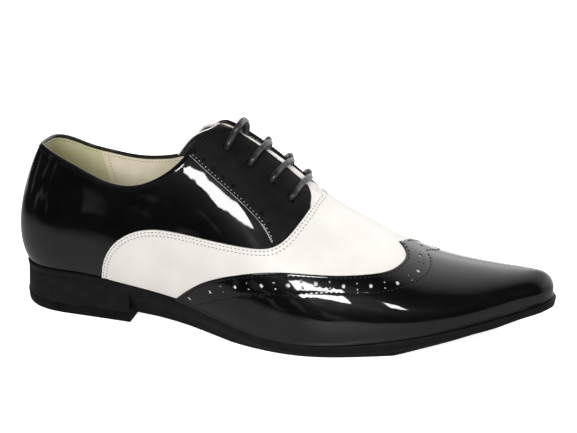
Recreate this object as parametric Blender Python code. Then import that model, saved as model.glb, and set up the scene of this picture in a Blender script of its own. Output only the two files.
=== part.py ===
"""Right-foot two-tone wing-tip dress shoe, built on a last worked out from a short table of sections.

x runs from heel to toe, y towards the inner side of the foot and z up from the floor.
Sizes are in millimetres here and become metres when a mesh is made.
A place on the upper is given by its station (x of the section's foot on the sole) and its
share (0 at the sole's edge, 1 at the ridge along the top of the foot).
"""
import bpy
import bmesh
import numpy as np
from mathutils import Vector
from mathutils.geometry import delaunay_2d_cdt

for old in list(bpy.data.objects):
    bpy.data.objects.remove(old, do_unlink=True)
ROOT = bpy.data.objects.new("shoe", None)
bpy.context.scene.collection.objects.link(ROOT)

MM = 0.001
LATERAL, MEDIAL = -1, 1

# Thicknesses and clearances
CLEARANCE = 0.3
UNDER_PANEL = 0.4
OVER_TONGUE = 0.8
WALL = 2.0
PANEL = 1.0
CAP = 1.8
TONGUE = 2.0
INSOLE = 2.5
PANEL_LIFT = 0.9

# Facet length along the shoe: coarse at the sides, finer round the heel and the narrow toe.
# Points inside a panel keep the first share of a facet between them, and points of its edges the second.
POINT_SPACING = 0.78
EDGE_FACET = 0.6
FACET = (
    # x, facet
    (0.0, 7.0),
    (40.0, 9.0),
    (120.0, 8.0),
    (210.0, 7.2),
    (265.0, 5.6),
    (300.0, 3.4),
)

# Sections of the last, heel to toe: half widths and height of the sole's edge, place of the ridge,
# then how the wall rises and flares above the edge and how broad the crown is at the ridge
SECTION_COLUMNS = ("station", "lateral", "medial", "bed", "ridge_x", "rise", "flare_lateral",
                   "flare_medial", "crown")
SECTIONS = (
    (-2.0, 0.0, 0.0, 25.5, 48.0, 27.0, 12.0, 12.0, 28.0),
    (-0.4, 12.0, 11.5, 26.0, 48.0, 27.0, 12.0, 12.0, 28.0),
    (7.2, 21.0, 21.0, 26.6, 50.0, 27.0, 12.0, 11.0, 26.0),
    (38.0, 27.6, 28.0, 26.6, 56.0, 30.0, 8.0, 6.0, 24.0),
    (70.0, 29.2, 27.5, 23.4, 76.0, 30.0, 8.0, 5.0, 20.0),
    (105.0, 32.0, 26.5, 18.0, 105.0, 32.0, 9.0, 6.0, 17.0),
    (140.0, 41.0, 31.0, 11.3, 140.0, 30.0, 9.0, 6.0, 18.0),
    (175.0, 44.2, 38.0, 8.2, 175.0, 26.0, 7.0, 4.0, 21.0),
    (205.0, 38.3, 41.5, 9.0, 205.0, 22.0, 5.0, 3.0, 20.0),
    (235.0, 29.0, 38.0, 11.8, 235.0, 17.0, 4.0, 3.0, 17.0),
    (265.0, 15.5, 30.0, 15.8, 265.0, 13.0, 3.0, 3.0, 12.0),
    (290.0, 2.5, 20.5, 20.2, 287.0, 10.0, 2.5, 2.5, 8.0),
    (298.5, -2.0, 14.5, 22.6, 292.0, 8.0, 2.0, 2.0, 6.0),
    (302.3, -8.5, 8.5, 23.5, 294.8, 7.0, 2.0, 2.0, 5.0),
)
# Ridge along the top of the foot
RIDGE = (
    # x, y, z
    (44.0, -1.0, 126.0),
    (80.0, -1.0, 126.0),
    (110.0, -1.0, 119.5),
    (128.0, -0.7, 111.5),
    (143.0, -0.5, 102.3),
    (160.0, -0.2, 89.0),
    (175.0, 0.0, 76.2),
    (205.0, 1.5, 57.8),
    (235.0, 4.0, 42.7),
    (265.0, 6.5, 36.0),
    (287.0, 8.0, 34.8),
    (294.8, 8.5, 35.4),
)

# Steps along a curve before its points are spaced out, and the rows and columns tried for points
CURVE_STEPS = 160
TRIED_ROWS = 41
TRIED_COLUMNS = 400
# Length that one whole share counts for where an edge is drawn through stations and shares
SHARE_LENGTH = 100.0
# How much the sides are drawn in where the upper is spread flat, so that they don't cross
SPREAD = 0.7
# Angle between facets, in radians, above which an edge is drawn sharp
SHARP = 0.6

# Edge of the ankle opening, up to the corner where the lacing begins
COLLAR = (
    # station, share on the outer side, share on the inner side
    (-2.0, 0.630, 0.630),
    (7.0, 0.628, 0.608),
    (25.0, 0.612, 0.553),
    (42.0, 0.580, 0.527),
    (60.0, 0.534, 0.522),
    (74.0, 0.533, 0.546),
    (90.5, 0.604, 0.610),
    (104.5, 0.736, 0.738),
    (114.5, 0.873, 0.873),
    (122.0, 0.943, 0.943),
)
LACING_TOP = 127.0
LACING_END = 174.0
LACING_HALF_GAP = 4.0
LACING_POINT = 2.0

# Panel edges: station, share. Vamp and facings are the same on both sides of the shoe.
VAMP_EDGE = ((54.5, 0.0), (60.0, 0.15), (67.5, 0.245), (83.0, 0.333), (106.0, 0.372), (140.5, 0.436),
             (156.0, 0.503), (166.0, 0.655), (172.5, 0.85), (175.5, 1.0))
# The wing cap's outer edge ends at its peak, and its inner edge where it crosses the ridge
CAP_EDGE_OUTER = ((99.0, 0.0), (114.5, 0.145), (138.0, 0.291), (171.0, 0.428), (205.0, 0.535),
                  (216.0, 0.612), (221.2, 0.708), (223.3, 0.815), (221.2, 0.912), (218.6, 0.957))
CAP_EDGE_INNER = ((99.0, 0.0), (114.5, 0.145), (138.0, 0.291), (171.0, 0.42), (206.0, 0.51), (219.0, 0.565),
                  (226.5, 0.635), (228.3, 0.70), (226.8, 0.765), (223.6, 0.88), (220.6, 1.0))
FACING_SEAM = ((107.5, 0.752), (117.0, 0.711), (130.6, 0.663), (142.0, 0.622), (149.5, 0.582),
               (155.5, 0.522))
FACING_FRONT = ((168.5, 0.955), (170.8, 0.91), (171.4, 0.855))
# Distance kept between a facing's corners and the next point of its outline
FACING_CORNER = 2.0

# Laces: eyelets on each facing, and how far ahead of its eyelet a lace crosses the ridge
EYELETS = ((127.0, 0.857), (139.4, 0.841), (150.8, 0.825), (161.5, 0.800))
EYELET_RADIUS = 1.7
EYELET_SIDES = 10
LACE_RADIUS = 1.7
LACE_LEAD = 6.0
LACE_POINTS = 13

# Tongue: half width, how far it stands out of the lacing's top edge and more at its rounded middle,
# and its hidden front end
TONGUE_HALF_WIDTH = 30.0
TONGUE_PROUD = 4.5
TONGUE_ROUND = 2.0
TONGUE_END = 180.0

# Sole: how far it stands out past the upper's lower edge, and the height of its underside
SOLE_LEDGE = (
    # station, ledge
    (-2.0, 0.9),
    (60.0, 1.2),
    (110.0, 2.2),
    (175.0, 3.0),
    (240.0, 3.4),
    (290.0, 4.4),
    (302.3, 4.8),
)
SOLE_UNDERSIDE = (
    # station, height: low waist, flat tread under the ball, toe spring
    (71.4, 5.5),
    (88.0, 4.5),
    (101.0, 3.2),
    (118.0, 1.4),
    (134.0, 0.0),
    (222.0, 0.0),
    (236.0, 3.2),
    (255.0, 7.0),
    (276.0, 11.3),
    (302.3, 18.2),
)
SOLE_EDGE = 5.2
SEAT_EDGE = 4.2
SOLE_CHAMFER = 0.6
SOLE_UNDERCUT = 2.2
SEAT_UNDERCUT = 0.2

# Heel: stacked block on a rubber lift, square across its front
BREAST = 71.0
LIFT = 6.0
LIFT_LEDGE = 3.0
HEEL_WAIST_LEDGE = 1.7
HEEL_WAIST_HEIGHT = 13.0
LIFT_CHAMFER = 0.6

INSOLE_INSET = 2.7


def spline(knots, values, period=None):
    """Cubic spline through the values: closed if a period is given, else with straight ends."""
    t = np.asarray(knots, float)
    y = np.asarray(values, float).reshape(len(t), -1)
    if period:
        t = np.append(t, t[0] + period)
        y = np.vstack([y, y[:1]])
    last = len(t) - 1
    h = np.diff(t)
    slope = np.diff(y, axis=0) / h[:, None]
    system = np.zeros((last + 1, last + 1))
    load = np.zeros_like(y)
    for i in range(1, last):
        system[i, i - 1:i + 2] = h[i - 1], 2 * (h[i - 1] + h[i]), h[i]
        load[i] = 6 * (slope[i] - slope[i - 1])
    if period:
        system[0, [0, last]] = 1, -1
        system[last, [0, 1]] += 2 * h[0], h[0]
        system[last, [last - 1, last]] += h[-1], 2 * h[-1]
        load[last] = 6 * (slope[0] - slope[-1])
    else:
        system[0, 0] = system[last, last] = 1
    bend = np.linalg.solve(system, load)

    def at(x):
        x = np.asarray(x, float)
        if period:
            x = t[0] + np.mod(x - t[0], period)
        i = np.clip(np.searchsorted(t, x, side="right") - 1, 0, last - 1)
        step = h[i][..., None]
        a = (t[i + 1] - x)[..., None] / step
        b = (x - t[i])[..., None] / step
        cubic = ((a ** 3 - a) * bend[i] + (b ** 3 - b) * bend[i + 1]) * step ** 2 / 6
        return a * y[i] + b * y[i + 1] + cubic

    return at


def around(lateral, medial):
    """Values round the closed outline: outer side heel to toe, then inner side back to the heel."""
    return np.concatenate([lateral, medial[-2:0:-1]])


COLUMN = dict(zip(SECTION_COLUMNS, np.array(SECTIONS).T))
side_walk = np.hypot(np.diff(COLUMN["station"]), np.diff(COLUMN["lateral"]))
HALF_TURN = np.append(0.0, np.cumsum(side_walk)) / side_walk.sum() / 2
SECTION_AT = spline(
    around(HALF_TURN, 1 - HALF_TURN),
    np.column_stack([
        around(COLUMN["station"], COLUMN["station"]),
        around(-COLUMN["lateral"], COLUMN["medial"]),
        around(COLUMN["ridge_x"], COLUMN["ridge_x"]),
        around(COLUMN["rise"], COLUMN["rise"]),
        around(COLUMN["flare_lateral"], COLUMN["flare_medial"]),
        around(COLUMN["crown"], COLUMN["crown"]),
    ]),
    period=1.0)
BED_AT = spline(COLUMN["station"], COLUMN["bed"])
RIDGE_AT = spline([row[0] for row in RIDGE], [row[1:] for row in RIDGE])
TURNS = np.linspace(0.0, 0.5, 2001)
TURN_STATIONS = SECTION_AT(TURNS)[:, 0]


def turn(station, side):
    """Turn of the section (0 at the heel, 0.5 at the toe, 1 at the heel again) at a station."""
    half = np.interp(station, TURN_STATIONS, TURNS)
    return half if side == LATERAL else 1 - half


def station_of(u):
    return SECTION_AT(u)[..., 0]


def ridge_slope(x):
    return (RIDGE_AT(x + 0.5) - RIDGE_AT(x - 0.5))[..., 1]


def bezier(controls, t):
    a, b, c, d = controls
    t = t[..., None]
    return (1 - t) ** 3 * a + 3 * (1 - t) ** 2 * t * b + 3 * (1 - t) * t * t * c + t ** 3 * d


def section_controls(u):
    """Curve of a section from the sole's edge to the ridge, which it meets square across."""
    x, y, ridge_x, rise, flare, crown = np.moveaxis(SECTION_AT(u), -1, 0)
    ridge_y, ridge_z = np.moveaxis(RIDGE_AT(ridge_x), -1, 0)
    foot = np.stack([x, y, BED_AT(x)[..., 0]], -1)
    ridge = np.stack([ridge_x, ridge_y, ridge_z], -1)
    outward = foot - ridge
    outward[..., 2] = 0
    outward /= np.linalg.norm(outward, axis=-1, keepdims=True)
    wall = foot + outward * flare[..., None]
    wall[..., 2] += rise
    shoulder = ridge + outward * crown[..., None]
    shoulder[..., 2] += ridge_slope(ridge_x) * (shoulder[..., 0] - ridge_x)
    return foot, wall, shoulder, ridge


SECTION_STEPS = 48


def section_lengths(controls):
    """Running length along each section, at even steps of its curve."""
    shape = controls[0].shape[:-1]
    steps = np.linspace(0, 1, SECTION_STEPS + 1)
    curve = np.stack([bezier(controls, np.full(shape, t)) for t in steps])
    pieces = np.linalg.norm(np.diff(curve, axis=0), axis=-1)
    return np.concatenate([np.zeros((1,) + shape), np.cumsum(pieces, axis=0)])


def girth(u):
    """Length of the section at turn u, from the sole's edge to the ridge."""
    return section_lengths(section_controls(np.asarray(u, float)))[-1]


def last_point(u, v):
    """Point of the last at turn u and share v of the section's length."""
    u, v = np.broadcast_arrays(np.asarray(u, float), np.asarray(v, float))
    controls = section_controls(u)
    lengths = section_lengths(controls)
    share = lengths / lengths[-1]
    k = np.clip((share <= v).sum(0) - 1, 0, SECTION_STEPS - 1)
    low = np.take_along_axis(share, k[None], 0)[0]
    high = np.take_along_axis(share, (k + 1)[None], 0)[0]
    return bezier(controls, (k + (v - low) / (high - low)) / SECTION_STEPS)


def last_normal(u, v):
    """Outward normal of the last."""
    u, v = np.broadcast_arrays(np.asarray(u, float), np.asarray(v, float))
    step = 1e-3
    along = last_point(u + step, v) - last_point(u - step, v)
    up = last_point(u, np.minimum(v + step, 1)) - last_point(u, np.maximum(v - step, 0))
    normal = np.cross(along, up)
    slope = ridge_slope(SECTION_AT(u)[..., 2])
    on_ridge = np.stack([-slope, np.zeros_like(slope), np.ones_like(slope)], -1)
    normal = np.where((v > 0.999)[..., None], on_ridge, normal)
    return normal / np.linalg.norm(normal, axis=-1, keepdims=True)


def surface(u, v, height):
    """Point at a height above the last (below it where negative)."""
    return last_point(u, v) + last_normal(u, v) * height


def spread(u, v):
    """The upper spread flat like a pattern piece: ridge in the middle, sole's edge outside."""
    foot, _, _, ridge = section_controls(u)
    outward = (foot - ridge)[..., :2]
    outward /= np.linalg.norm(outward, axis=-1, keepdims=True)
    return ridge[..., :2] + outward * (girth(u) * (1 - v) * SPREAD)[..., None]


def facet_at(x):
    table = np.array(FACET)
    return np.interp(x, table[:, 0], table[:, 1])


def resample(u, v, share_of_facet=1.0):
    """A curve on the last with its points a facet, or a share of one, apart."""
    points = last_point(u, v)
    middle_x = (points[1:, 0] + points[:-1, 0]) / 2
    run = np.append(0.0, np.cumsum(np.linalg.norm(np.diff(points, axis=0), axis=1) / facet_at(middle_x)))
    run /= share_of_facet
    marks = np.linspace(0, run[-1], max(1, round(run[-1])) + 1)
    return np.column_stack([np.interp(marks, run, u), np.interp(marks, run, v)])


def edge(rows, side):
    """Smooth panel edge through rows of station and share, as turns and shares."""
    rows = np.array(rows)
    walk = np.append(0.0, np.cumsum(np.hypot(np.diff(rows[:, 0]), SHARE_LENGTH * np.diff(rows[:, 1]))))
    fine = spline(walk, rows)(np.linspace(0, walk[-1], CURVE_STEPS))
    return resample(turn(fine[:, 0], side), np.clip(fine[:, 1], 0, 1), EDGE_FACET)


def cap_edge(side):
    """Edge of the wing cap on one side, up to the ridge."""
    if side == MEDIAL:
        return edge(CAP_EDGE_INNER, side)
    crossing = (turn(CAP_EDGE_INNER[-1][0], side), 1.0)
    return np.vstack([edge(CAP_EDGE_OUTER, side), crossing])


def shifted(curve, distance):
    """The curve moved sideways over the last, to the left of its direction where positive."""
    u, v = curve.T
    step = 1e-3
    along = (last_point(u + step, v) - last_point(u - step, v)) / (2 * step)
    up = last_normal(u, v)
    direction = np.gradient(last_point(u, v), axis=0)
    sideways = np.cross(up, direction)
    sideways *= distance / np.linalg.norm(sideways, axis=1, keepdims=True)
    du = (sideways * along).sum(1) / (along * along).sum(1)
    climb = np.cross(up, along)
    climb /= np.linalg.norm(climb, axis=1, keepdims=True)
    dv = (sideways * climb).sum(1) / girth(u)
    return np.column_stack([u + du, np.clip(v + dv, 0, 1)])


def sole_line():
    """Closed line of the sole's edge round the last, with a point at the foot of each seam."""
    feet = [turn(rows[0][0], side) for rows in (VAMP_EDGE, CAP_EDGE_OUTER) for side in (LATERAL, MEDIAL)]
    marks = np.sort([0.0, *feet, 0.5, 1.0])
    stretches = [np.linspace(start, end, CURVE_STEPS) for start, end in zip(marks, marks[1:])]
    return loop(*[resample(u, np.zeros(CURVE_STEPS)) for u in stretches])


def sole_edge(first, last):
    """Stretch of the sole's edge between two turns."""
    turns = SOLE_LINE[:, 0]
    closest = np.diff(turns).min() / 2
    between = np.sort(turns[(turns > min(first, last) + closest) & (turns < max(first, last) - closest)])
    u = np.array([first, *(between if first < last else between[::-1]), last])
    return np.column_stack([u, np.zeros(len(u))])


def loop(*edges):
    """Closed outline from edges that follow each other."""
    return np.concatenate([piece[:-1] for piece in edges])


def inside(points, polygon):
    """Which points lie inside a closed flat polygon."""
    x, y = points.T
    found = np.zeros(len(points), bool)
    for (x0, y0), (x1, y1) in zip(polygon, np.roll(polygon, -1, axis=0)):
        crosses = (y0 > y) != (y1 > y)
        with np.errstate(divide="ignore", invalid="ignore"):
            found ^= crosses & (x < (x1 - x0) * (y - y0) / (y1 - y0) + x0)
    return found


def lattice(edges):
    """Points a facet apart all over the last and clear of the edges, as turns and shares."""
    kept = []
    places = last_point(*np.concatenate(edges).T)
    for v in np.linspace(1, 0, TRIED_ROWS):
        turns = np.linspace(0, 0.5 if v == 1 else 1, TRIED_COLUMNS, endpoint=False)
        for u, place in zip(turns, last_point(turns, v)):
            if np.linalg.norm(places - place, axis=1).min() > POINT_SPACING * facet_at(place[0]):
                kept.append((u, v))
                places = np.vstack([places, place])
    return np.array(kept)


def new_object(name, vertices, faces, finish):
    """One named object from millimetre points, with its faces turned outwards."""
    mesh = bpy.data.meshes.new(name)
    mesh.from_pydata([tuple(point) for point in np.asarray(vertices) * MM], [], faces)
    model = bmesh.new()
    model.from_mesh(mesh)
    bmesh.ops.triangulate(model, faces=model.faces)
    bmesh.ops.recalc_face_normals(model, faces=model.faces)
    model.to_mesh(mesh)
    model.free()
    mesh.shade_smooth()
    mesh.set_sharp_from_angle(angle=SHARP)
    mesh.materials.append(finish)
    shoe_part = bpy.data.objects.new(name, mesh)
    bpy.context.scene.collection.objects.link(shoe_part)
    shoe_part.parent = ROOT
    return shoe_part


def panel(name, loops, low, high, finish, seams=(), lift=0.0):
    """Sheet between two heights over the last: first loop is its outline, the others are holes.

    Facets follow the seams, so that panels lying over each other have the same facets. The lift
    draws a foot on the sole's edge up a little.
    """
    flat_loops = [spread(*outline.T) for outline in loops]
    flat_fill = spread(*FILL.T)
    chosen = inside(flat_fill, flat_loops[0])
    for hole in flat_loops[1:]:
        chosen &= ~inside(flat_fill, hole)
    places = np.concatenate([*loops, *seams, FILL[chosen]])
    flat = spread(*places.T)

    rims = []
    first = 0
    for outline in [*loops, *seams]:
        ring = list(range(first, first + len(outline)))
        rims += zip(ring, ring[1:])
        first += len(outline)
    first = 0
    for outline in loops:
        rims.append((first + len(outline) - 1, first))
        first += len(outline)
    _, _, cells, origin, _, _ = delaunay_2d_cdt([Vector(point) for point in flat], rims, [], 0, 1e-6)
    cells = np.array([[min(origin[corner]) for corner in cell] for cell in cells])
    centres = flat[cells].mean(axis=1)
    wanted = inside(centres, flat_loops[0])
    for hole in flat_loops[1:]:
        wanted &= ~inside(centres, hole)
    used, cells = np.unique(cells[wanted], return_inverse=True)
    cells = cells.reshape(-1, 3)

    u, v = places[used].T
    v = np.maximum(v, lift / girth(u))
    outer = surface(u, v, high)
    inner = surface(u, v, low)
    a, b, c = (outer[cells[:, k]] for k in range(3))
    facing_in = (np.cross(b - a, c - a) * last_normal(u, v)[cells[:, 0]]).sum(1) < 0
    cells[facing_in] = cells[facing_in][:, ::-1]
    count = len(used)
    faces = [tuple(int(k) for k in cell) for cell in cells]
    sides = {(cell[k], cell[(k + 1) % 3]) for cell in faces for k in range(3)}
    walls = sorted((p, q) for p, q in sides if (q, p) not in sides)
    faces += [tuple(k + count for k in cell[::-1]) for cell in list(faces)]
    faces += [(q, p, p + count, q + count) for p, q in walls]
    return new_object(name, np.concatenate([outer, inner]), faces, finish)


def plan(u, ledge):
    """Plan points of the sole's outline, moved out by a ledge."""
    step = 1e-4
    here = SECTION_AT(u)[..., :2]
    along = SECTION_AT(u + step)[..., :2] - SECTION_AT(u - step)[..., :2]
    out = np.stack([along[..., 1], -along[..., 0]], -1)
    out /= np.linalg.norm(out, axis=-1, keepdims=True)
    return here + out * np.asarray(ledge)[..., None]


def stacked(name, stations, rings, finish):
    """Solid with rings of the sole's outline above each other, closed straight across top and bottom.

    Each ring is a pair of functions: how far out it lies at a station, and its height at an x.
    """
    half = turn(stations, LATERAL)
    closed_toe = half[-1] > 0.4999
    turns = np.concatenate([half, 1 - half[-2:0:-1] if closed_toe else 1 - half[:0:-1]])
    where = np.concatenate([stations, stations[-2:0:-1] if closed_toe else stations[:0:-1]])
    count = len(turns)
    points = []
    for ledge, height in rings:
        flat = plan(turns, ledge(where))
        points.append(np.column_stack([flat, height(flat[:, 0])]))
    faces = []
    for ring in range(len(rings) - 1):
        for k in range(count):
            after = (k + 1) % count
            base = ring * count
            faces.append((base + k, base + after, base + count + after, base + count + k))
    for base in (0, (len(rings) - 1) * count):
        for k in range(len(stations) - 1):
            ladder = (k, k + 1, count - k - 1, (count - k) % count)
            faces.append([base + corner for corner in dict.fromkeys(ladder)])
    return new_object(name, np.concatenate(points), faces, finish)


def steady(value):
    """A ring measure that is the same at every station."""
    return lambda stations: np.full(len(stations), float(value))


def table(rows):
    rows = np.array(rows)
    return lambda stations: np.interp(stations, rows[:, 0], rows[:, 1])


def bed(x):
    """Height of the sole's edge, level past the heel and the toe."""
    return BED_AT(np.clip(x, SECTIONS[0][0], SECTIONS[-1][0]))[:, 0]


def sole_top(x):
    return bed(x) - CLEARANCE


def over_heel(x):
    return x < (BREAST + SOLE_UNDERSIDE[0][0]) / 2


def sole_underside(x):
    """Seat over the heel, then the low waist, the flat tread and the toe spring."""
    seat = sole_top(x) - SEAT_EDGE - SEAT_UNDERCUT
    return np.where(over_heel(x), seat, table(SOLE_UNDERSIDE)(x))


def sole_side_foot(x):
    """Lower corner of the sole's upright edge, above its undercut."""
    thick = np.where(over_heel(x), SEAT_EDGE, SOLE_EDGE)
    return np.maximum(sole_top(x) - thick, sole_underside(x) + SOLE_CHAMFER)


def finish(name, colour, roughness, coat=0.0):
    """Plain finish of a piece."""
    material = bpy.data.materials.new(name)
    material.use_nodes = True
    shader = material.node_tree.nodes["Principled BSDF"]
    shader.inputs["Base Color"].default_value = (*colour, 1.0)
    shader.inputs["Roughness"].default_value = roughness
    shader.inputs["Metallic"].default_value = 0.0
    shader.inputs["Coat Weight"].default_value = coat
    return material


def collar_edge(side):
    """Ankle opening from the back seam to the corner of the lacing."""
    stations, outer, inner = np.array(COLLAR).T
    shares = spline(stations, outer if side == LATERAL else inner)
    half = np.linspace(0, turn(COLLAR[-1][0], LATERAL), CURVE_STEPS)
    v = shares(station_of(half))[:, 0]
    corner = turn(LACING_TOP, LATERAL)
    half = np.append(half, corner)
    v = np.append(v, 1 - LACING_HALF_GAP / girth(corner))
    return resample(half if side == LATERAL else 1 - half, v)


def lacing_edge(side, start, end):
    """Edge of a facing along the lacing, a half gap from the ridge."""
    u = turn(np.linspace(start, end, CURVE_STEPS), side)
    return resample(u, 1 - LACING_HALF_GAP / girth(u))


def eyelet(station, share, side):
    """Round hole for a lace."""
    u = turn(station, side)
    angles = np.linspace(0, 2 * np.pi, EYELET_SIDES, endpoint=False)
    speed = np.linalg.norm(last_point(u + 1e-3, share) - last_point(u - 1e-3, share)) / 2e-3
    return np.column_stack([u + EYELET_RADIUS * np.cos(angles) / speed,
                            share + EYELET_RADIUS * np.sin(angles) / girth(u)])


def opening_edge():
    """Closed edge of the ankle opening and the lacing, which ends in a point at the ridge."""
    sides = []
    for side in (LATERAL, MEDIAL):
        lacing = lacing_edge(side, LACING_TOP, LACING_END - LACING_POINT)
        point = turn(LACING_END, side)
        sides.append([collar_edge(side), lacing, np.array([lacing[-1], (point, 1.0)])])
    return loop(*sides[0], *[piece[::-1] for piece in sides[1][::-1]])


def eyelets(side):
    return [eyelet(*place, side) for place in EYELETS]


def seam_edges():
    """Panel edges that the upper's facets follow, a facing's without its ends."""
    seams = []
    for side in (LATERAL, MEDIAL):
        seams += [edge(VAMP_EDGE, side), cap_edge(side)]
        seams += [edge(FACING_SEAM, side)[1:-1], edge(FACING_FRONT, side)[1:-1]]
    return seams


def build_upper():
    """Quarters, vamp lining and toe as one hollow wall, open at the ankle, lacing and sole."""
    finish_upper = finish("black_patent", (0.006, 0.006, 0.007), 0.08, 1.0)
    loops = [SOLE_LINE, OPENING, *eyelets(LATERAL), *eyelets(MEDIAL)]
    panel("upper", loops, -WALL, 0.0, finish_upper, SEAMS)


def build_vamp():
    """White vamp from the waist to the wing cap, over the instep and down the inner side."""
    outer_gap = shifted(cap_edge(LATERAL), CLEARANCE)
    inner_gap = shifted(cap_edge(MEDIAL), -CLEARANCE)
    outer_gap[-1] = inner_gap[-1] = (turn(CAP_EDGE_INNER[-1][0] - CLEARANCE, LATERAL), 1.0)
    outer_gap[0, 1] = inner_gap[0, 1] = 0.0
    upper_outer = edge(VAMP_EDGE, LATERAL)
    upper_inner = edge(VAMP_EDGE, MEDIAL)
    outline = loop(upper_outer, upper_inner[::-1], sole_edge(upper_inner[0, 0], inner_gap[0, 0]), inner_gap,
                   outer_gap[::-1], sole_edge(outer_gap[0, 0], upper_outer[0, 0]))
    finish_vamp = finish("white_leather", (0.84, 0.83, 0.80), 0.35, 0.2)
    panel("vamp", [outline], UNDER_PANEL, UNDER_PANEL + PANEL, finish_vamp, lift=PANEL_LIFT)


def build_wing_cap():
    """Black wing cap round the toe, pointed at the ridge, its wings running back to the waist."""
    outer = cap_edge(LATERAL)
    inner = cap_edge(MEDIAL)
    outline = loop(outer, inner[::-1], sole_edge(inner[0, 0], outer[0, 0]))
    finish_cap = finish("black_patent_cap", (0.006, 0.006, 0.007), 0.08, 1.0)
    panel("wing_cap", [outline], UNDER_PANEL, UNDER_PANEL + CAP, finish_cap, lift=PANEL_LIFT)


def facing_vamp_edge(side):
    """Stretch of the vamp's edge along the facing, a clearance above it, front to back."""
    clear = shifted(edge(VAMP_EDGE, side), CLEARANCE if side == LATERAL else -CLEARANCE)
    behind_front = clear[:, 1] < FACING_FRONT[-1][1] - FACING_CORNER / SHARE_LENGTH
    ahead_of_seam = station_of(clear[:, 0]) > FACING_SEAM[-1][0] + FACING_CORNER
    return clear[behind_front & ahead_of_seam][::-1]


def build_facing(name, side, finish_facing):
    """Matt black lace stay over the top of a quarter."""
    collar = collar_edge(side)
    ahead_of_seam = station_of(collar[:, 0]) > FACING_SEAM[0][0] + FACING_CORNER
    top = shifted(collar, CLEARANCE if side == MEDIAL else -CLEARANCE)[ahead_of_seam]
    seam = edge(FACING_SEAM, side)
    front = edge(FACING_FRONT, side)
    lacing = lacing_edge(side, LACING_TOP, FACING_FRONT[0][0])
    outline = np.concatenate([seam[:1], top[:-1], lacing[:-1], front, facing_vamp_edge(side), seam[:0:-1]])
    panel(name, [outline, *eyelets(side)], UNDER_PANEL, UNDER_PANEL + PANEL, finish_facing)


def build_tongue():
    """Tongue under the lacing, standing a little out of its top."""
    side_station = COLLAR[-3][0] - TONGUE_PROUD
    halves = []
    for side in (LATERAL, MEDIAL):
        u = turn(np.linspace(TONGUE_END, side_station, CURVE_STEPS), side)
        flank = resample(u, 1 - TONGUE_HALF_WIDTH / girth(u))
        stations, outer, _ = np.array(COLLAR[-3:]).T
        rows = [(side_station, flank[-1, 1])]
        rows += [(s - TONGUE_PROUD, v) for s, v in zip(stations[1:], outer[1:])]
        rows += [(LACING_TOP - TONGUE_PROUD - TONGUE_ROUND, 1.0)]
        front = resample(np.full(CURVE_STEPS, u[0]), np.linspace(1, flank[0, 1], CURVE_STEPS))
        halves.append([front, flank, edge(rows, side)])
    outer, inner = halves
    outline = loop(*outer, *[piece[::-1] for piece in inner[::-1]])
    finish_tongue = finish("white_tongue", (0.84, 0.83, 0.80), 0.4)
    panel("tongue", [outline], -WALL - OVER_TONGUE - TONGUE, -WALL - OVER_TONGUE, finish_tongue)


def build_laces():
    """Each lace crossing runs from an eyelet over the lacing and back to the eyelet opposite."""
    finish_lace = finish("waxed_cord", (0.01, 0.01, 0.011), 0.4)
    height = UNDER_PANEL + PANEL + CLEARANCE + LACE_RADIUS
    for number, (station, share) in enumerate(EYELETS, 1):
        reach = np.linspace(0, 1, LACE_POINTS // 2 + 1)
        arms = []
        for side in (LATERAL, MEDIAL):
            u = turn(station + LACE_LEAD * reach, side)
            arms.append(surface(u, share + (1 - share) * reach, height))
        route = np.concatenate([arms[0], arms[1][-2::-1]])
        curve = bpy.data.curves.new("lace_%d" % number, "CURVE")
        curve.dimensions = "3D"
        curve.bevel_depth = LACE_RADIUS * MM
        curve.bevel_resolution = 2
        curve.use_fill_caps = True
        line = curve.splines.new("POLY")
        line.points.add(len(route) - 1)
        for point, place in zip(line.points, route):
            point.co = (*(place * MM), 1.0)
        curve.materials.append(finish_lace)
        lace = bpy.data.objects.new("lace_%d" % number, curve)
        bpy.context.scene.collection.objects.link(lace)
        lace.parent = ROOT


def spaced_stations(first, last):
    """Stations a facet apart along the outer outline."""
    u = np.linspace(turn(first, LATERAL), turn(last, LATERAL), CURVE_STEPS)
    return station_of(resample(u, np.zeros(CURVE_STEPS))[:, 0])


def build_sole():
    """One-piece sole: thin edge under the upper, undercut waist and tread, step for the heel."""
    toe = SECTIONS[-1][0]
    stations = np.concatenate([spaced_stations(SECTIONS[0][0], BREAST),
                               spaced_stations(SOLE_UNDERSIDE[0][0], toe)])
    ledge = table(SOLE_LEDGE)

    def undercut(where):
        return ledge(where) - np.where(over_heel(where), SEAT_UNDERCUT, SOLE_UNDERCUT)

    rings = [
        (lambda where: ledge(where) - SOLE_CHAMFER, sole_top),
        (ledge, lambda where: sole_top(where) - SOLE_CHAMFER),
        (lambda where: ledge(where) - SOLE_CHAMFER / 2, sole_side_foot),
        (undercut, sole_underside),
    ]
    stacked("outsole", stations, rings, finish("sole_rubber", (0.012, 0.012, 0.013), 0.45))


def build_heel():
    """Heel block drawn in at mid height, on a rubber lift with a chamfered foot."""
    stations = spaced_stations(SECTIONS[0][0], BREAST - CLEARANCE)
    seat_ledge = SOLE_LEDGE[0][1] - SEAT_UNDERCUT
    finish_heel = finish("heel_block", (0.011, 0.011, 0.012), 0.4)
    stacked("heel_block", stations, [
        (steady(seat_ledge), lambda where: sole_underside(where) - CLEARANCE),
        (steady(HEEL_WAIST_LEDGE), steady(HEEL_WAIST_HEIGHT)),
        (steady(LIFT_LEDGE - LIFT_CHAMFER), steady(LIFT)),
    ], finish_heel)
    finish_lift = finish("heel_lift", (0.014, 0.014, 0.015), 0.5)
    stacked("heel_lift", stations, [
        (steady(LIFT_LEDGE - LIFT_CHAMFER / 2), steady(LIFT - CLEARANCE)),
        (steady(LIFT_LEDGE), steady(LIFT_CHAMFER)),
        (steady(LIFT_LEDGE - LIFT_CHAMFER), steady(0.0)),
    ], finish_lift)


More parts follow.
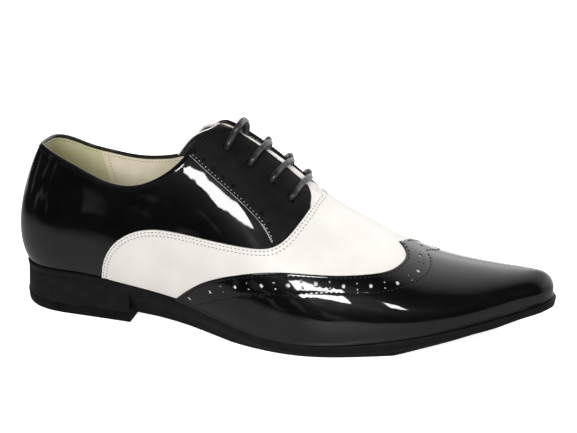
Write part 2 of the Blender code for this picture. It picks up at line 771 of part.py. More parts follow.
def build_insole():
    """Insole lying on the sole inside the upper."""
    stations = spaced_stations(SECTIONS[0][0], SECTIONS[-1][0])
    stacked("insole", stations, [
        (steady(-INSOLE_INSET), lambda where: bed(where) + INSOLE),
        (steady(-INSOLE_INSET), bed),
    ], finish("insole_sock", (0.55, 0.50, 0.40), 0.8))


def set_origin():
    """Stand the shoe with the middle of its box over the origin."""
    bpy.context.view_layer.update()
    graph = bpy.context.evaluated_depsgraph_get()
    corners = []
    for shoe_part in ROOT.children:
        shape = shoe_part.evaluated_get(graph).to_mesh()
        corners += [tuple(vertex.co) for vertex in shape.vertices]
    low, high = np.min(corners, axis=0), np.max(corners, axis=0)
    ROOT.location = (-(low[0] + high[0]) / 2, -(low[1] + high[1]) / 2, -low[2])


SOLE_LINE = sole_line()
OPENING = opening_edge()
SEAMS = seam_edges()
FILL = lattice([SOLE_LINE, OPENING, *eyelets(LATERAL), *eyelets(MEDIAL), *SEAMS])
build_sole()
build_heel()
build_insole()
build_upper()
build_vamp()
build_wing_cap()
FACING_FINISH = finish("matt_black_leather", (0.012, 0.012, 0.013), 0.38)
build_facing("facing_lateral", LATERAL, FACING_FINISH)
build_facing("facing_medial", MEDIAL, FACING_FINISH)
build_tongue()
build_laces()
set_origin()
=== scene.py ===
import bpy
import bmesh
import numpy as np
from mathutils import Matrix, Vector, kdtree
from mathutils.geometry import delaunay_2d_cdt


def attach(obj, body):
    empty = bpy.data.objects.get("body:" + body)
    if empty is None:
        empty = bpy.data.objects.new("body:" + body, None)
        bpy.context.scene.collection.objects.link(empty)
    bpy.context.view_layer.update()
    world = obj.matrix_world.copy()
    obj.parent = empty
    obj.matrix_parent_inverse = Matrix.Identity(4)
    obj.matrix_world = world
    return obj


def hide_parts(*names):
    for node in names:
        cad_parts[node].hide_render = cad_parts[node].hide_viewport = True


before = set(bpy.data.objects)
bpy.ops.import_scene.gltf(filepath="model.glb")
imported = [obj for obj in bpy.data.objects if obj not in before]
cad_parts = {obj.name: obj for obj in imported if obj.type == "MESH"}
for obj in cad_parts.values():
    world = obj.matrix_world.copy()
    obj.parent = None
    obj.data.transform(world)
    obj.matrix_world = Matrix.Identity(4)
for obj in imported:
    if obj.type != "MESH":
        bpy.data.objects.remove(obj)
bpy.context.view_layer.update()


# Insole: a thin board cut to the outline of the last and laid on the sole inside the upper.
# Its cream sock of fine-grained leather is glued down flat over the whole length.
MM = 0.001
LATERAL, MEDIAL = -1, 1
SECTION_COLUMNS = ("station", "lateral", "medial", "bed", "ridge_x", "rise", "flare_lateral",
                   "flare_medial", "crown")
SECTIONS = (
    (-2.0, 0.0, 0.0, 25.5, 48.0, 27.0, 12.0, 12.0, 28.0),
    (-0.4, 12.0, 11.5, 26.0, 48.0, 27.0, 12.0, 12.0, 28.0),
    (7.2, 21.0, 21.0, 26.6, 50.0, 27.0, 12.0, 11.0, 26.0),
    (38.0, 27.6, 28.0, 26.6, 56.0, 30.0, 8.0, 6.0, 24.0),
    (70.0, 29.2, 27.5, 23.4, 76.0, 30.0, 8.0, 5.0, 20.0),
    (105.0, 32.0, 26.5, 18.0, 105.0, 32.0, 9.0, 6.0, 17.0),
    (140.0, 41.0, 31.0, 11.3, 140.0, 30.0, 9.0, 6.0, 18.0),
    (175.0, 44.2, 38.0, 8.2, 175.0, 26.0, 7.0, 4.0, 21.0),
    (205.0, 38.3, 41.5, 9.0, 205.0, 22.0, 5.0, 3.0, 20.0),
    (235.0, 29.0, 38.0, 11.8, 235.0, 17.0, 4.0, 3.0, 17.0),
    (265.0, 15.5, 30.0, 15.8, 265.0, 13.0, 3.0, 3.0, 12.0),
    (290.0, 2.5, 20.5, 20.2, 287.0, 10.0, 2.5, 2.5, 8.0),
    (298.5, -2.0, 14.5, 22.6, 292.0, 8.0, 2.0, 2.0, 6.0),
    (302.3, -8.5, 8.5, 23.5, 294.8, 7.0, 2.0, 2.0, 5.0),
)
HEEL_BACK, TOE_TIP = SECTIONS[0][0], SECTIONS[-1][0]
INSOLE_THICK = 2.5
INSOLE_INSET = 2.7
INSOLE_ROUND = 0.7
INSOLE_STEP = 2.5
SOCK_COLOURS = ((0.60, 0.545, 0.43), (0.70, 0.65, 0.53))


def spline(knots, values, period=None):
    """Cubic spline through the values: closed if a period is given, else with straight ends."""
    t = np.asarray(knots, float)
    y = np.asarray(values, float).reshape(len(t), -1)
    if period:
        t = np.append(t, t[0] + period)
        y = np.vstack([y, y[:1]])
    last = len(t) - 1
    h = np.diff(t)
    slope = np.diff(y, axis=0) / h[:, None]
    system = np.zeros((last + 1, last + 1))
    load = np.zeros_like(y)
    for i in range(1, last):
        system[i, i - 1:i + 2] = h[i - 1], 2 * (h[i - 1] + h[i]), h[i]
        load[i] = 6 * (slope[i] - slope[i - 1])
    if period:
        system[0, [0, last]] = 1, -1
        system[last, [0, 1]] += 2 * h[0], h[0]
        system[last, [last - 1, last]] += h[-1], 2 * h[-1]
        load[last] = 6 * (slope[0] - slope[-1])
    else:
        system[0, 0] = system[last, last] = 1
    bend = np.linalg.solve(system, load)

    def at(x):
        x = np.asarray(x, float)
        if period:
            x = t[0] + np.mod(x - t[0], period)
        i = np.clip(np.searchsorted(t, x, side="right") - 1, 0, last - 1)
        step = h[i][..., None]
        a = (t[i + 1] - x)[..., None] / step
        b = (x - t[i])[..., None] / step
        cubic = ((a ** 3 - a) * bend[i] + (b ** 3 - b) * bend[i + 1]) * step ** 2 / 6
        return a * y[i] + b * y[i + 1] + cubic

    return at


def around(lateral, medial):
    """Values round the closed outline: outer side heel to toe, then inner side back to the heel."""
    return np.concatenate([lateral, medial[-2:0:-1]])


COLUMN = dict(zip(SECTION_COLUMNS, np.array(SECTIONS).T))
side_walk = np.hypot(np.diff(COLUMN["station"]), np.diff(COLUMN["lateral"]))
HALF_TURN = np.append(0.0, np.cumsum(side_walk)) / side_walk.sum() / 2
SECTION_AT = spline(
    around(HALF_TURN, 1 - HALF_TURN),
    np.column_stack([
        around(COLUMN["station"], COLUMN["station"]),
        around(-COLUMN["lateral"], COLUMN["medial"]),
        around(COLUMN["ridge_x"], COLUMN["ridge_x"]),
        around(COLUMN["rise"], COLUMN["rise"]),
        around(COLUMN["flare_lateral"], COLUMN["flare_medial"]),
        around(COLUMN["crown"], COLUMN["crown"]),
    ]),
    period=1.0)
BED_AT = spline(COLUMN["station"], COLUMN["bed"])
TURNS = np.linspace(0.0, 0.5, 2001)
TURN_STATIONS = SECTION_AT(TURNS)[:, 0]


def turn(station, side):
    """Turn of the section (0 at the heel, 0.5 at the toe, 1 at the heel again) at a station."""
    half = np.interp(station, TURN_STATIONS, TURNS)
    return half if side == LATERAL else 1 - half


def station_of(u):
    return SECTION_AT(u)[..., 0]


def plan(u, ledge):
    """Plan points of the last's outline, moved out by a ledge."""
    step = 1e-4
    here = SECTION_AT(u)[..., :2]
    along = SECTION_AT(u + step)[..., :2] - SECTION_AT(u - step)[..., :2]
    out = np.stack([along[..., 1], -along[..., 0]], -1)
    out /= np.linalg.norm(out, axis=-1, keepdims=True)
    return here + out * np.asarray(ledge)[..., None]


def bed(x):
    """Height of the sole's edge, level past the heel and the toe."""
    return BED_AT(np.clip(x, HEEL_BACK, TOE_TIP))[..., 0]


insole_solid = np.array([tuple(vertex.co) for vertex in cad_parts["insole"].data.vertices]) / MM
insole_heel = insole_solid[insole_solid[:, 0].argmin()]
SHIFT = np.array([*(insole_heel[:2] - plan(np.array(0.0), -INSOLE_INSET)), 0.0])


def make_piece(name, points, faces, finishes, sharp=0.7, normals=None, finish_of_face=None):
    """One piece from millimetre points on the last, turned outwards and moved into the frame."""
    mesh = bpy.data.meshes.new(name)
    mesh.from_pydata([tuple(point) for point in (np.asarray(points) + SHIFT) * MM], [], faces)
    for finish in finishes:
        mesh.materials.append(finish)
    if finish_of_face is not None:
        mesh.polygons.foreach_set("material_index", finish_of_face)
    model = bmesh.new()
    model.from_mesh(mesh)
    bmesh.ops.recalc_face_normals(model, faces=model.faces)
    model.to_mesh(mesh)
    model.free()
    mesh.shade_smooth()
    mesh.set_sharp_from_angle(angle=sharp)
    if normals is not None:
        mesh.normals_split_custom_set_from_vertices([tuple(n) for n in normals])
    piece = bpy.data.objects.new(name, mesh)
    bpy.context.scene.collection.objects.link(piece)
    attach(piece, "root")
    return piece


def walked(points):
    """Running length along a line of points."""
    return np.append(0.0, np.cumsum(np.linalg.norm(np.diff(points, axis=0), axis=1)))


def outline_stations(first, last, step):
    """Stations a step apart along the outer outline."""
    u = np.linspace(turn(first, LATERAL), turn(last, LATERAL), 1200)
    run = walked(plan(u, np.zeros(len(u))))
    return station_of(np.interp(np.linspace(0, run[-1], round(run[-1] / step) + 1), run, u))


def ring_faces(rings, sides, first=0):
    """Faces between closed rings of points that follow each other."""
    faces = []
    for ring in range(rings - 1):
        base = first + ring * sides
        for k in range(sides):
            p, q = base + k, base + (k + 1) % sides
            faces.append((p, q, q + sides, p + sides))
    return faces


def stack_rings(stations, rings):
    """Points and faces of a solid with rings of the last's outline above each other.

    Each ring is a pair of functions: how far out it lies at a turn, and its height at an x.
    The first and last rings are closed straight across.
    """
    half = turn(stations, LATERAL)
    closed_toe = half[-1] > 0.4999
    turns = np.concatenate([half, 1 - half[-2:0:-1] if closed_toe else 1 - half[:0:-1]])
    count = len(turns)
    points = []
    for ledge, height in rings:
        flat = plan(turns, ledge(turns))
        points.append(np.column_stack([flat, height(flat[:, 0])]))
    faces = ring_faces(len(rings), count)
    for base in (0, (len(rings) - 1) * count):
        for k in range(len(stations) - 1):
            ladder = (k, k + 1, count - k - 1, (count - k) % count)
            faces.append([base + corner for corner in dict.fromkeys(ladder)])
    return np.concatenate(points), faces


def steady(value):
    """A ring measure that is the same everywhere."""
    return lambda where: np.full(len(where), float(value))


def rounding(radius):
    """How far back and how far down each ring of a rounded upper corner lies."""
    turned = np.linspace(0, np.pi / 2, 5)
    return zip(radius * (1 - np.sin(turned)), radius * (1 - np.cos(turned)))


def new_finish(name, **sockets):
    """A finish with the given shader sockets, and what its nodes start from."""
    material = bpy.data.materials.new(name)
    material.use_nodes = True
    tree = material.node_tree
    shader = tree.nodes["Principled BSDF"]
    for socket, value in sockets.items():
        shader.inputs[socket.replace("_", " ")].default_value = value
    place = tree.nodes.new("ShaderNodeTexCoord").outputs["Object"]
    return material, tree, shader, place


def mottle(tree, place, size, detail=2.0, stretch=(1.0, 1.0, 1.0)):
    """Uneven patches of about a size in millimetres, drawn out where stretch is above one."""
    mapping = tree.nodes.new("ShaderNodeMapping")
    mapping.inputs["Scale"].default_value = tuple(1 / (size * MM * s) for s in stretch)
    tree.links.new(place, mapping.inputs["Vector"])
    noise = tree.nodes.new("ShaderNodeTexNoise")
    noise.inputs["Scale"].default_value = 1.0
    noise.inputs["Detail"].default_value = detail
    tree.links.new(mapping.outputs["Vector"], noise.inputs["Vector"])
    return noise.outputs["Fac"]


def pebble(tree, place, size):
    """Small rounded cells of leather grain of a size in millimetres."""
    cells = tree.nodes.new("ShaderNodeTexVoronoi")
    cells.feature = "SMOOTH_F1"
    cells.inputs["Scale"].default_value = 1 / (size * MM)
    tree.links.new(place, cells.inputs["Vector"])
    return cells.outputs["Distance"]


def shade(tree, fac, shader, colours, start=0.35, end=0.65):
    """Base colour that goes from the first to the second colour with a pattern."""
    ramp = tree.nodes.new("ShaderNodeValToRGB")
    for stop, colour, position in zip(ramp.color_ramp.elements, colours, (start, end)):
        stop.color = (*colour, 1.0)
        stop.position = position
    tree.links.new(fac, ramp.inputs["Fac"])
    tree.links.new(ramp.outputs["Color"], shader.inputs["Base Color"])


def ramp_node(tree, value, start, end, low, high, kind="SMOOTHSTEP"):
    """A step from low to high as a value goes from start to end."""
    band = tree.nodes.new("ShaderNodeMapRange")
    band.interpolation_type = kind
    for socket, number in (("From Min", start), ("From Max", end), ("To Min", low), ("To Max", high)):
        band.inputs[socket].default_value = number
    tree.links.new(value, band.inputs["Value"])
    return band.outputs["Result"]


def gloss(tree, fac, shader, low, high):
    """Roughness that goes from low to high with a pattern."""
    tree.links.new(ramp_node(tree, fac, 0.3, 0.7, low, high, "LINEAR"), shader.inputs["Roughness"])


def relief(tree, shader, *layers, sockets=("Normal",)):
    """Layers of pattern and depth in millimetres, laid over each other as a bump."""
    normal = None
    for fac, depth in layers:
        bump = tree.nodes.new("ShaderNodeBump")
        bump.inputs["Distance"].default_value = depth * MM
        tree.links.new(fac, bump.inputs["Height"])
        if normal is not None:
            tree.links.new(normal, bump.inputs["Normal"])
        normal = bump.outputs["Normal"]
    for socket in sockets:
        tree.links.new(normal, shader.inputs[socket])


sock_finish, tree, shader, place = new_finish("cream_sock", Specular_IOR_Level=0.3)
shade(tree, mottle(tree, place, 9.0, 4.0), shader, SOCK_COLOURS)
gloss(tree, mottle(tree, place, 4.0), shader, 0.6, 0.8)
relief(tree, shader, (pebble(tree, place, 0.9), 0.05), (mottle(tree, place, 12.0), 0.25))
insole_rings = []
for back, drop in rounding(INSOLE_ROUND):
    insole_rings.append((steady(-INSOLE_INSET - back),
                         lambda x, drop=drop: bed(x) + INSOLE_THICK - drop))
insole_rings.append((steady(-INSOLE_INSET), bed))
insole_stations = outline_stations(HEEL_BACK, TOE_TIP, INSOLE_STEP)
insole = make_piece("insole_board", *stack_rings(insole_stations, insole_rings), [sock_finish])
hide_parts("insole")


# Quarters: the heel and sides of the upper in black patent leather, cut on the last in one form
# and lapped under the vamp at the front. The topline is folded over the lining and sewn down.
RIDGE = (
    # x, y, z
    (44.0, -1.0, 126.0),
    (80.0, -1.0, 126.0),
    (110.0, -1.0, 119.5),
    (128.0, -0.7, 111.5),
    (143.0, -0.5, 102.3),
    (160.0, -0.2, 89.0),
    (175.0, 0.0, 76.2),
    (205.0, 1.5, 57.8),
    (235.0, 4.0, 42.7),
    (265.0, 6.5, 36.0),
    (287.0, 8.0, 34.8),
    (294.8, 8.5, 35.4),
)
COLLAR = (
    # station, share on the outer side, share on the inner side
    (-2.0, 0.630, 0.630),
    (7.0, 0.628, 0.608),
    (25.0, 0.612, 0.553),
    (42.0, 0.580, 0.527),
    (60.0, 0.534, 0.522),
    (74.0, 0.533, 0.546),
    (90.5, 0.604, 0.610),
    (104.5, 0.736, 0.738),
    (114.5, 0.873, 0.873),
    (122.0, 0.943, 0.943),
)
LACING_TOP = 127.0
LACING_END = 174.0
LACING_HALF_GAP = 4.0
LACING_POINT = 2.0
EYELETS = ((127.0, 0.857), (139.4, 0.841), (150.8, 0.825), (161.5, 0.800))
EYELET_RADIUS = 1.7
EYELET_SIDES = 20
VAMP_EDGE = ((54.5, 0.0), (60.0, 0.15), (67.5, 0.245), (83.0, 0.333), (106.0, 0.372),
             (140.5, 0.436), (156.0, 0.503), (166.0, 0.655), (172.5, 0.85), (175.5, 1.0))
VAMP_LAP = 12.0
QUARTER_THICK = 0.95
FOLD, HOLE_FOLD = 0.45, 0.16
ROLL_WIDTH = 2.3
TOPLINE_DEPTH = 2.05
TOPLINE_FRONT = 106.0
TOPLINE_ROW = 2.9
EDGE_STEP = 1.2
LEATHER_STEP = 1.8
SECTION_STEPS = 48
SHARE_LENGTH = 100.0
SPREAD = 0.7
EDGE_BANDS = (0.16, 0.45, 1.0, 2.2)
HOLE_BANDS = (0.16, 0.45)
ROW_BAND = 0.5
GROOVE_WIDTH = 0.45
STITCH_PROFILE = ((-1.0, 0.15), (-0.8, 0.75), (-0.3, 1.0), (0.3, 1.0), (0.8, 0.75), (1.0, 0.15))
PATENT_BLACK = ((0.0016, 0.0016, 0.0019), (0.0030, 0.0030, 0.0034))
PATENT_WAVES = ((34.0, 0.45), (15.0, 0.13), (6.0, 0.012))
BLACK_THREAD = ((0.003, 0.003, 0.0033), (0.008, 0.008, 0.0085))

RIDGE_AT = spline([row[0] for row in RIDGE], [row[1:] for row in RIDGE])


def ridge_slope(x):
    return (RIDGE_AT(x + 0.5) - RIDGE_AT(x - 0.5))[..., 1]


def bezier(controls, t):
    a, b, c, d = controls
    t = t[..., None]
    return (1 - t) ** 3 * a + 3 * (1 - t) ** 2 * t * b + 3 * (1 - t) * t * t * c + t ** 3 * d


def section_controls(u):
    """Curve of a section from the sole's edge to the ridge, which it meets square across."""
    x, y, ridge_x, rise, flare, crown = np.moveaxis(SECTION_AT(u), -1, 0)
    ridge_y, ridge_z = np.moveaxis(RIDGE_AT(ridge_x), -1, 0)
    foot = np.stack([x, y, BED_AT(x)[..., 0]], -1)
    ridge = np.stack([ridge_x, ridge_y, ridge_z], -1)
    outward = foot - ridge
    outward[..., 2] = 0
    outward /= np.linalg.norm(outward, axis=-1, keepdims=True)
    wall = foot + outward * flare[..., None]
    wall[..., 2] += rise
    shoulder = ridge + outward * crown[..., None]
    shoulder[..., 2] += ridge_slope(ridge_x) * (shoulder[..., 0] - ridge_x)
    return foot, wall, shoulder, ridge


def section_lengths(controls):
    """Running length along each section, at even steps of its curve."""
    shape = controls[0].shape[:-1]
    steps = np.linspace(0, 1, SECTION_STEPS + 1)
    curve = np.stack([bezier(controls, np.full(shape, t)) for t in steps])
    pieces = np.linalg.norm(np.diff(curve, axis=0), axis=-1)
    return np.concatenate([np.zeros((1,) + shape), np.cumsum(pieces, axis=0)])


def girth(u):
    """Length of the section at turn u, from the sole's edge to the ridge."""
    return section_lengths(section_controls(np.asarray(u, float)))[-1]


def last_point(u, v):
    """Point of the last at turn u and share v of the section's length."""
    u, v = np.broadcast_arrays(np.asarray(u, float), np.asarray(v, float))
    controls = section_controls(u)
    lengths = section_lengths(controls)
    share = lengths / lengths[-1]
    k = np.clip((share <= v).sum(0) - 1, 0, SECTION_STEPS - 1)
    low = np.take_along_axis(share, k[None], 0)[0]
    high = np.take_along_axis(share, (k + 1)[None], 0)[0]
    return bezier(controls, (k + (v - low) / (high - low)) / SECTION_STEPS)


def last_normal(u, v):
    """Outward normal of the last."""
    u, v = np.broadcast_arrays(np.asarray(u, float), np.asarray(v, float))
    step = 1e-3
    along = last_point(u + step, v) - last_point(u - step, v)
    up = last_point(u, np.minimum(v + step, 1)) - last_point(u, np.maximum(v - step, 0))
    normal = np.cross(along, up)
    slope = ridge_slope(SECTION_AT(u)[..., 2])
    on_ridge = np.stack([-slope, np.zeros_like(slope), np.ones_like(slope)], -1)
    normal = np.where((v > 0.999)[..., None], on_ridge, normal)
    return normal / np.linalg.norm(normal, axis=-1, keepdims=True)


def surface(u, v, height):
    """Point at a height above the last (below it where negative)."""
    return last_point(u, v) + last_normal(u, v) * np.asarray(height)[..., None]


def spread(u, v):
    """The upper spread flat like a pattern piece: ridge in the middle, sole's edge outside."""
    foot, _, _, ridge = section_controls(u)
    outward = (foot - ridge)[..., :2]
    outward /= np.linalg.norm(outward, axis=-1, keepdims=True)
    return ridge[..., :2] + outward * (girth(u) * (1 - v) * SPREAD)[..., None]


def at_marks(marks, run, points):
    """Points of a line at marks along its running length."""
    return np.column_stack([np.interp(marks, run, axis) for axis in points.T])


def resample(u, v, step=EDGE_STEP):
    """A curve on the last with its points a step apart."""
    run = walked(last_point(u, v))
    marks = np.linspace(0, run[-1], max(2, round(run[-1] / step)) + 1)
    return at_marks(marks, run, np.column_stack([u, v]))


def smooth_line(rows):
    """Smooth line through rows of station and share, and how far along it each row lies."""
    rows = np.array(rows)
    steps = np.hypot(np.diff(rows[:, 0]), SHARE_LENGTH * np.diff(rows[:, 1]))
    walk = np.append(0.0, np.cumsum(steps))
    return spline(walk, rows), walk


def edge(rows, side, step=EDGE_STEP):
    """Smooth panel edge through rows of station and share, as turns and shares."""
    line, walk = smooth_line(rows)
    fine = line(np.linspace(0, walk[-1], 400))
    return resample(turn(fine[:, 0], side), np.clip(fine[:, 1], 0, 1), step)


def both_edges(rows):
    """The same panel edge on the outer and on the inner side."""
    return [edge(rows, side) for side in (LATERAL, MEDIAL)]


def shifted(curve, distance, closed=False):
    """The curve moved sideways over the last, to the left of its direction where positive."""
    around_ends = np.vstack([curve[-2:], curve, curve[:2]]) if closed else curve
    u, v = around_ends.T
    step = 1e-3
    along = (last_point(u + step, v) - last_point(u - step, v)) / (2 * step)
    up = last_normal(u, v)
    direction = np.gradient(last_point(u, v), axis=0)
    sideways = np.cross(up, direction)
    sideways *= distance / np.linalg.norm(sideways, axis=1, keepdims=True)
    du = (sideways * along).sum(1) / (along * along).sum(1)
    climb = np.cross(up, along)
    climb /= np.linalg.norm(climb, axis=1, keepdims=True)
    dv = (sideways * climb).sum(1) / girth(u)
    moved = np.column_stack([u + du, np.clip(v + dv, 0, 1)])
    return moved[2:-2] if closed else moved


def loop(*edges):
    """Closed outline from edges that follow each other."""
    return np.concatenate([piece[:-1] for piece in edges])


def loop_round(outer, inner):
    """Closed outline along the outer side's edges and back along the inner side's."""
    return loop(*outer, *[piece[::-1] for piece in inner[::-1]])


def inside(points, polygon):
    """Which points lie inside a closed flat polygon."""
    x, y = points.T
    found = np.zeros(len(points), bool)
    for (x0, y0), (x1, y1) in zip(polygon, np.roll(polygon, -1, axis=0)):
        if y0 != y1:
            crosses = (y0 > y) != (y1 > y)
            found ^= crosses & (x < (x1 - x0) * (y - y0) / (y1 - y0) + x0)
    return found


def sole_edge(first, last):
    """Stretch of the sole's edge between two turns."""
    u = np.linspace(first, last, 400)
    return resample(u, np.zeros(400))


def leather_lattice():
    """Points a leather step apart all over the last, in rows that thin out where it is low."""
    turns = np.linspace(0, 1, 3001)
    heights = girth(turns)
    rows = round(heights.max() / LEATHER_STEP)
    found = []
    for row in range(rows + 1):
        v = row / rows
        run = walked(last_point(turns, v))
        marks = np.arange(0.5 * (row % 2), run[-1] / LEATHER_STEP) * LEATHER_STEP
        u = np.interp(marks, run, turns)
        crowding = LEATHER_STEP * rows / np.interp(u, turns, heights)
        skip = np.floor(np.log2(np.maximum(crowding, 1) * 1.2))
        keep = row % (2 ** skip) == 0
        if row == rows:
            keep &= u < 0.5
        found.append(np.column_stack([u[keep], np.full(keep.sum(), v)]))
    return np.concatenate(found)


LATTICE = leather_lattice()
LATTICE_FLAT = spread(*LATTICE.T)
LATTICE_PLACE = last_point(*LATTICE.T)


def dense(lines, step=0.12):
    """Points a small step apart along lines of points."""
    found = []
    for line in lines:
        run = walked(line)
        marks = np.linspace(0, run[-1], max(1, int(run[-1] / step)) + 1)
        found.append(at_marks(marks, run, line))
    return np.concatenate(found)


def distances(points, others):
    """Distance from each point to the nearest of the others."""
    nearest = kdtree.KDTree(len(others))
    for k, other in enumerate(others):
        nearest.insert(other, k)
    nearest.balance()
    return np.array([nearest.find(point)[2] for point in points])


def rounded(distance, radius):
    """How far a rounded edge falls away at a distance from its rim."""
    return radius * (1 - np.sqrt(1 - (1 - np.minimum(distance / radius, 1)) ** 2))


def leather(name, outline, holes, low, high, finishes, rows=(), groove=0.16, form=None,
            rolled=None, paint=None):
    """Sheet of leather between two heights over the last, with rounded edges and sewn rows.

    low and high are heights or functions of turn and share, and form lifts both. Near the rolled
    points the edge is turned over to a depth. paint chooses the finish at a turn and share.
    """
    loops = [outline, *holes]
    flat_loops = [spread(*line.T) for line in loops]
    rims_round = [last_point(*np.vstack([line, line[:1]]).T) for line in loops]
    rim_points = dense(rims_round)

    def within(flat):
        chosen = inside(flat, flat_loops[0])
        for hole in flat_loops[1:]:
            chosen &= ~inside(flat, hole)
        return chosen

    bands = []
    band_offsets = []
    for number, line in enumerate(loops):
        for offset in (HOLE_BANDS if number else EDGE_BANDS):
            for way in (offset, -offset):
                bands.append(shifted(line, way, closed=True))
                band_offsets.append(np.full(len(line), offset))
    for row in rows:
        for way in (-ROW_BAND, 0.0, ROW_BAND):
            bands.append(shifted(row, way))
            band_offsets.append(np.full(len(row), ROW_BAND))
    bands = np.concatenate(bands)
    chosen = within(spread(*bands.T))
    bands, band_offsets = bands[chosen], np.concatenate(band_offsets)[chosen]
    place = last_point(*bands.T)
    bands = bands[distances(place, rim_points) > 0.8 * band_offsets]

    chosen = within(LATTICE_FLAT)
    fill, place = LATTICE[chosen], LATTICE_PLACE[chosen]
    near = distances(place, np.concatenate([rim_points, last_point(*bands.T)]))
    fill = fill[near > 0.6 * LEATHER_STEP]

    places = np.concatenate([*loops, bands, fill])
    flat = spread(*places.T)
    rims = []
    first = 0
    for line in loops:
        ring = list(range(first, first + len(line)))
        rims += list(zip(ring, ring[1:])) + [(ring[-1], first)]
        first += len(line)
    _, _, cells, origin, _, _ = delaunay_2d_cdt([Vector(point) for point in flat], rims, [], 0, 1e-6)
    cells = np.array([[min(origin[corner]) for corner in cell] for cell in cells])
    used, cells = np.unique(cells[within(flat[cells].mean(axis=1))], return_inverse=True)
    cells = cells.reshape(-1, 3)

    u, v = places[used].T
    base = last_point(u, v)
    normal = last_normal(u, v)
    from_edge = distances(base, rim_points)
    from_edge[used < first] = 0.0
    bottom = low(u, v) if callable(low) else np.full(len(u), float(low))
    top = high(u, v) if callable(high) else np.full(len(u), float(high))
    plain = from_edge > EDGE_BANDS[-1]
    if form is not None:
        raised = form(u, v)
        top, bottom = top + raised, bottom + raised
        plain &= np.abs(raised) < 0.004
    turned = rounded(from_edge, FOLD)
    if holes:
        from_hole = distances(base, dense(rims_round[1:]))
        turned = np.where(from_hole < 2 * FOLD, rounded(from_hole, HOLE_FOLD), turned)
    if rolled is not None:
        rolled_points, depth = rolled
        from_roll = distances(base, rolled_points)
        at_roll = from_roll < ROLL_WIDTH
        turned = np.where(at_roll, rounded(from_roll, depth / 2), turned)
        bottom = np.where(at_roll, top - depth + turned, bottom)
    top = top - turned
    if rows:
        from_row = distances(base, dense([last_point(*row.T) for row in rows]))
        top = top - groove * np.exp(-(from_row / GROOVE_WIDTH) ** 2)
        plain &= from_row > 2.0
    outer = base + normal * top[:, None]
    inner = base + normal * bottom[:, None]

    a, b, c = (outer[cells[:, k]] for k in range(3))
    facing_in = (np.cross(b - a, c - a) * normal[cells[:, 0]]).sum(1) < 0
    cells[facing_in] = cells[facing_in][:, ::-1]
    count = len(used)
    faces = [tuple(int(k) for k in cell) for cell in cells]
    sides = {(cell[k], cell[(k + 1) % 3]) for cell in faces for k in range(3)}
    walls = sorted((p, q) for p, q in sides if (q, p) not in sides)
    faces += [tuple(k + count for k in cell[::-1]) for cell in list(faces)]
    faces += [(q, p, p + count, q + count) for p, q in walls]
    kept_normals = np.where(plain[:, None], normal, 0.0)
    finish_of_face = None
    if paint is not None:
        chosen = paint(u, v)
        on_cells = [int(round(chosen[list(cell)].mean())) for cell in cells]
        finish_of_face = on_cells + on_cells + [int(chosen[p]) for p, _ in walls]
    return make_piece(name, np.concatenate([outer, inner]), faces, finishes, 1.2,
                      np.concatenate([kept_normals, np.zeros_like(normal)]), finish_of_face)


def collar_edge(side):
    """Ankle opening from the back seam to the corner of the lacing."""
    stations, outer, inner = np.array(COLLAR).T
    shares = spline(stations, outer if side == LATERAL else inner)
    half = np.linspace(0, turn(COLLAR[-1][0], LATERAL), 400)
    v = shares(station_of(half))[:, 0]
    corner = turn(LACING_TOP, LATERAL)
    half = np.append(half, corner)
    v = np.append(v, 1 - LACING_HALF_GAP / girth(corner))
    return resample(half if side == LATERAL else 1 - half, v)


def lacing_edge(side, start, end):
    """Edge of a facing along the lacing, a half gap from the ridge."""
    u = turn(np.linspace(start, end, 200), side)
    return resample(u, 1 - LACING_HALF_GAP / girth(u))


def round_hole(u, v, radius, sides):
    """Round hole of a radius in millimetres."""
    angles = np.linspace(0, 2 * np.pi, sides, endpoint=False)
    speed = np.linalg.norm(last_point(u + 1e-3, v) - last_point(u - 1e-3, v)) / 2e-3
    return np.column_stack([u + radius * np.cos(angles) / speed,
                            v + radius * np.sin(angles) / girth(u)])


def eyelet_holes(side, radius=EYELET_RADIUS):
    return [round_hole(turn(station, side), share, radius, EYELET_SIDES)
            for station, share in EYELETS]


def opening_sides():
    """Edges of the ankle opening and the lacing on each side, back seam to ridge."""
    sides = []
    for side in (LATERAL, MEDIAL):
        lacing = lacing_edge(side, LACING_TOP, LACING_END - LACING_POINT)
        point = np.array([lacing[-1], (turn(LACING_END, side), 1.0)])
        sides.append([collar_edge(side), lacing, resample(*point.T)])
    return sides


def stitch_row(curve, height, pitch=1.75, length=1.25, thick=0.22, sides=6, way=1.0):
    """Points and faces of sewn stitches along a curve on the last, each a small bowed thread."""
    fine = resample(*curve.T, 0.3)
    points = surface(fine[:, 0], fine[:, 1], np.full(len(fine), height))
    run = walked(points)
    marks = np.arange(pitch / 2, run[-1] - pitch / 2, pitch)
    angles = np.linspace(0, 2 * np.pi, sides, endpoint=False)
    middles = at_marks(marks, run, points)
    tangents = at_marks(marks + 0.4, run, points) - at_marks(marks - 0.4, run, points)
    tangents /= np.linalg.norm(tangents, axis=1, keepdims=True)
    ups = last_normal(*at_marks(marks, run, fine).T) * way
    acrosses = np.cross(ups, tangents)
    made, faces = [], []
    for middle, tangent, up, across in zip(middles, tangents, ups, acrosses):
        first = len(made)
        for along, swell in STITCH_PROFILE:
            centre = middle + tangent * along * length / 2 + up * thick * (0.35 - 0.9 * along ** 2)
            for angle in angles:
                made.append(centre + thick * swell * (np.cos(angle) * across + np.sin(angle) * up))
        faces += ring_faces(len(STITCH_PROFILE), sides, first)
        faces.append(tuple(range(first, first + sides))[::-1])
        faces.append(tuple(range(len(made) - sides, len(made))))
    return np.array(made), faces


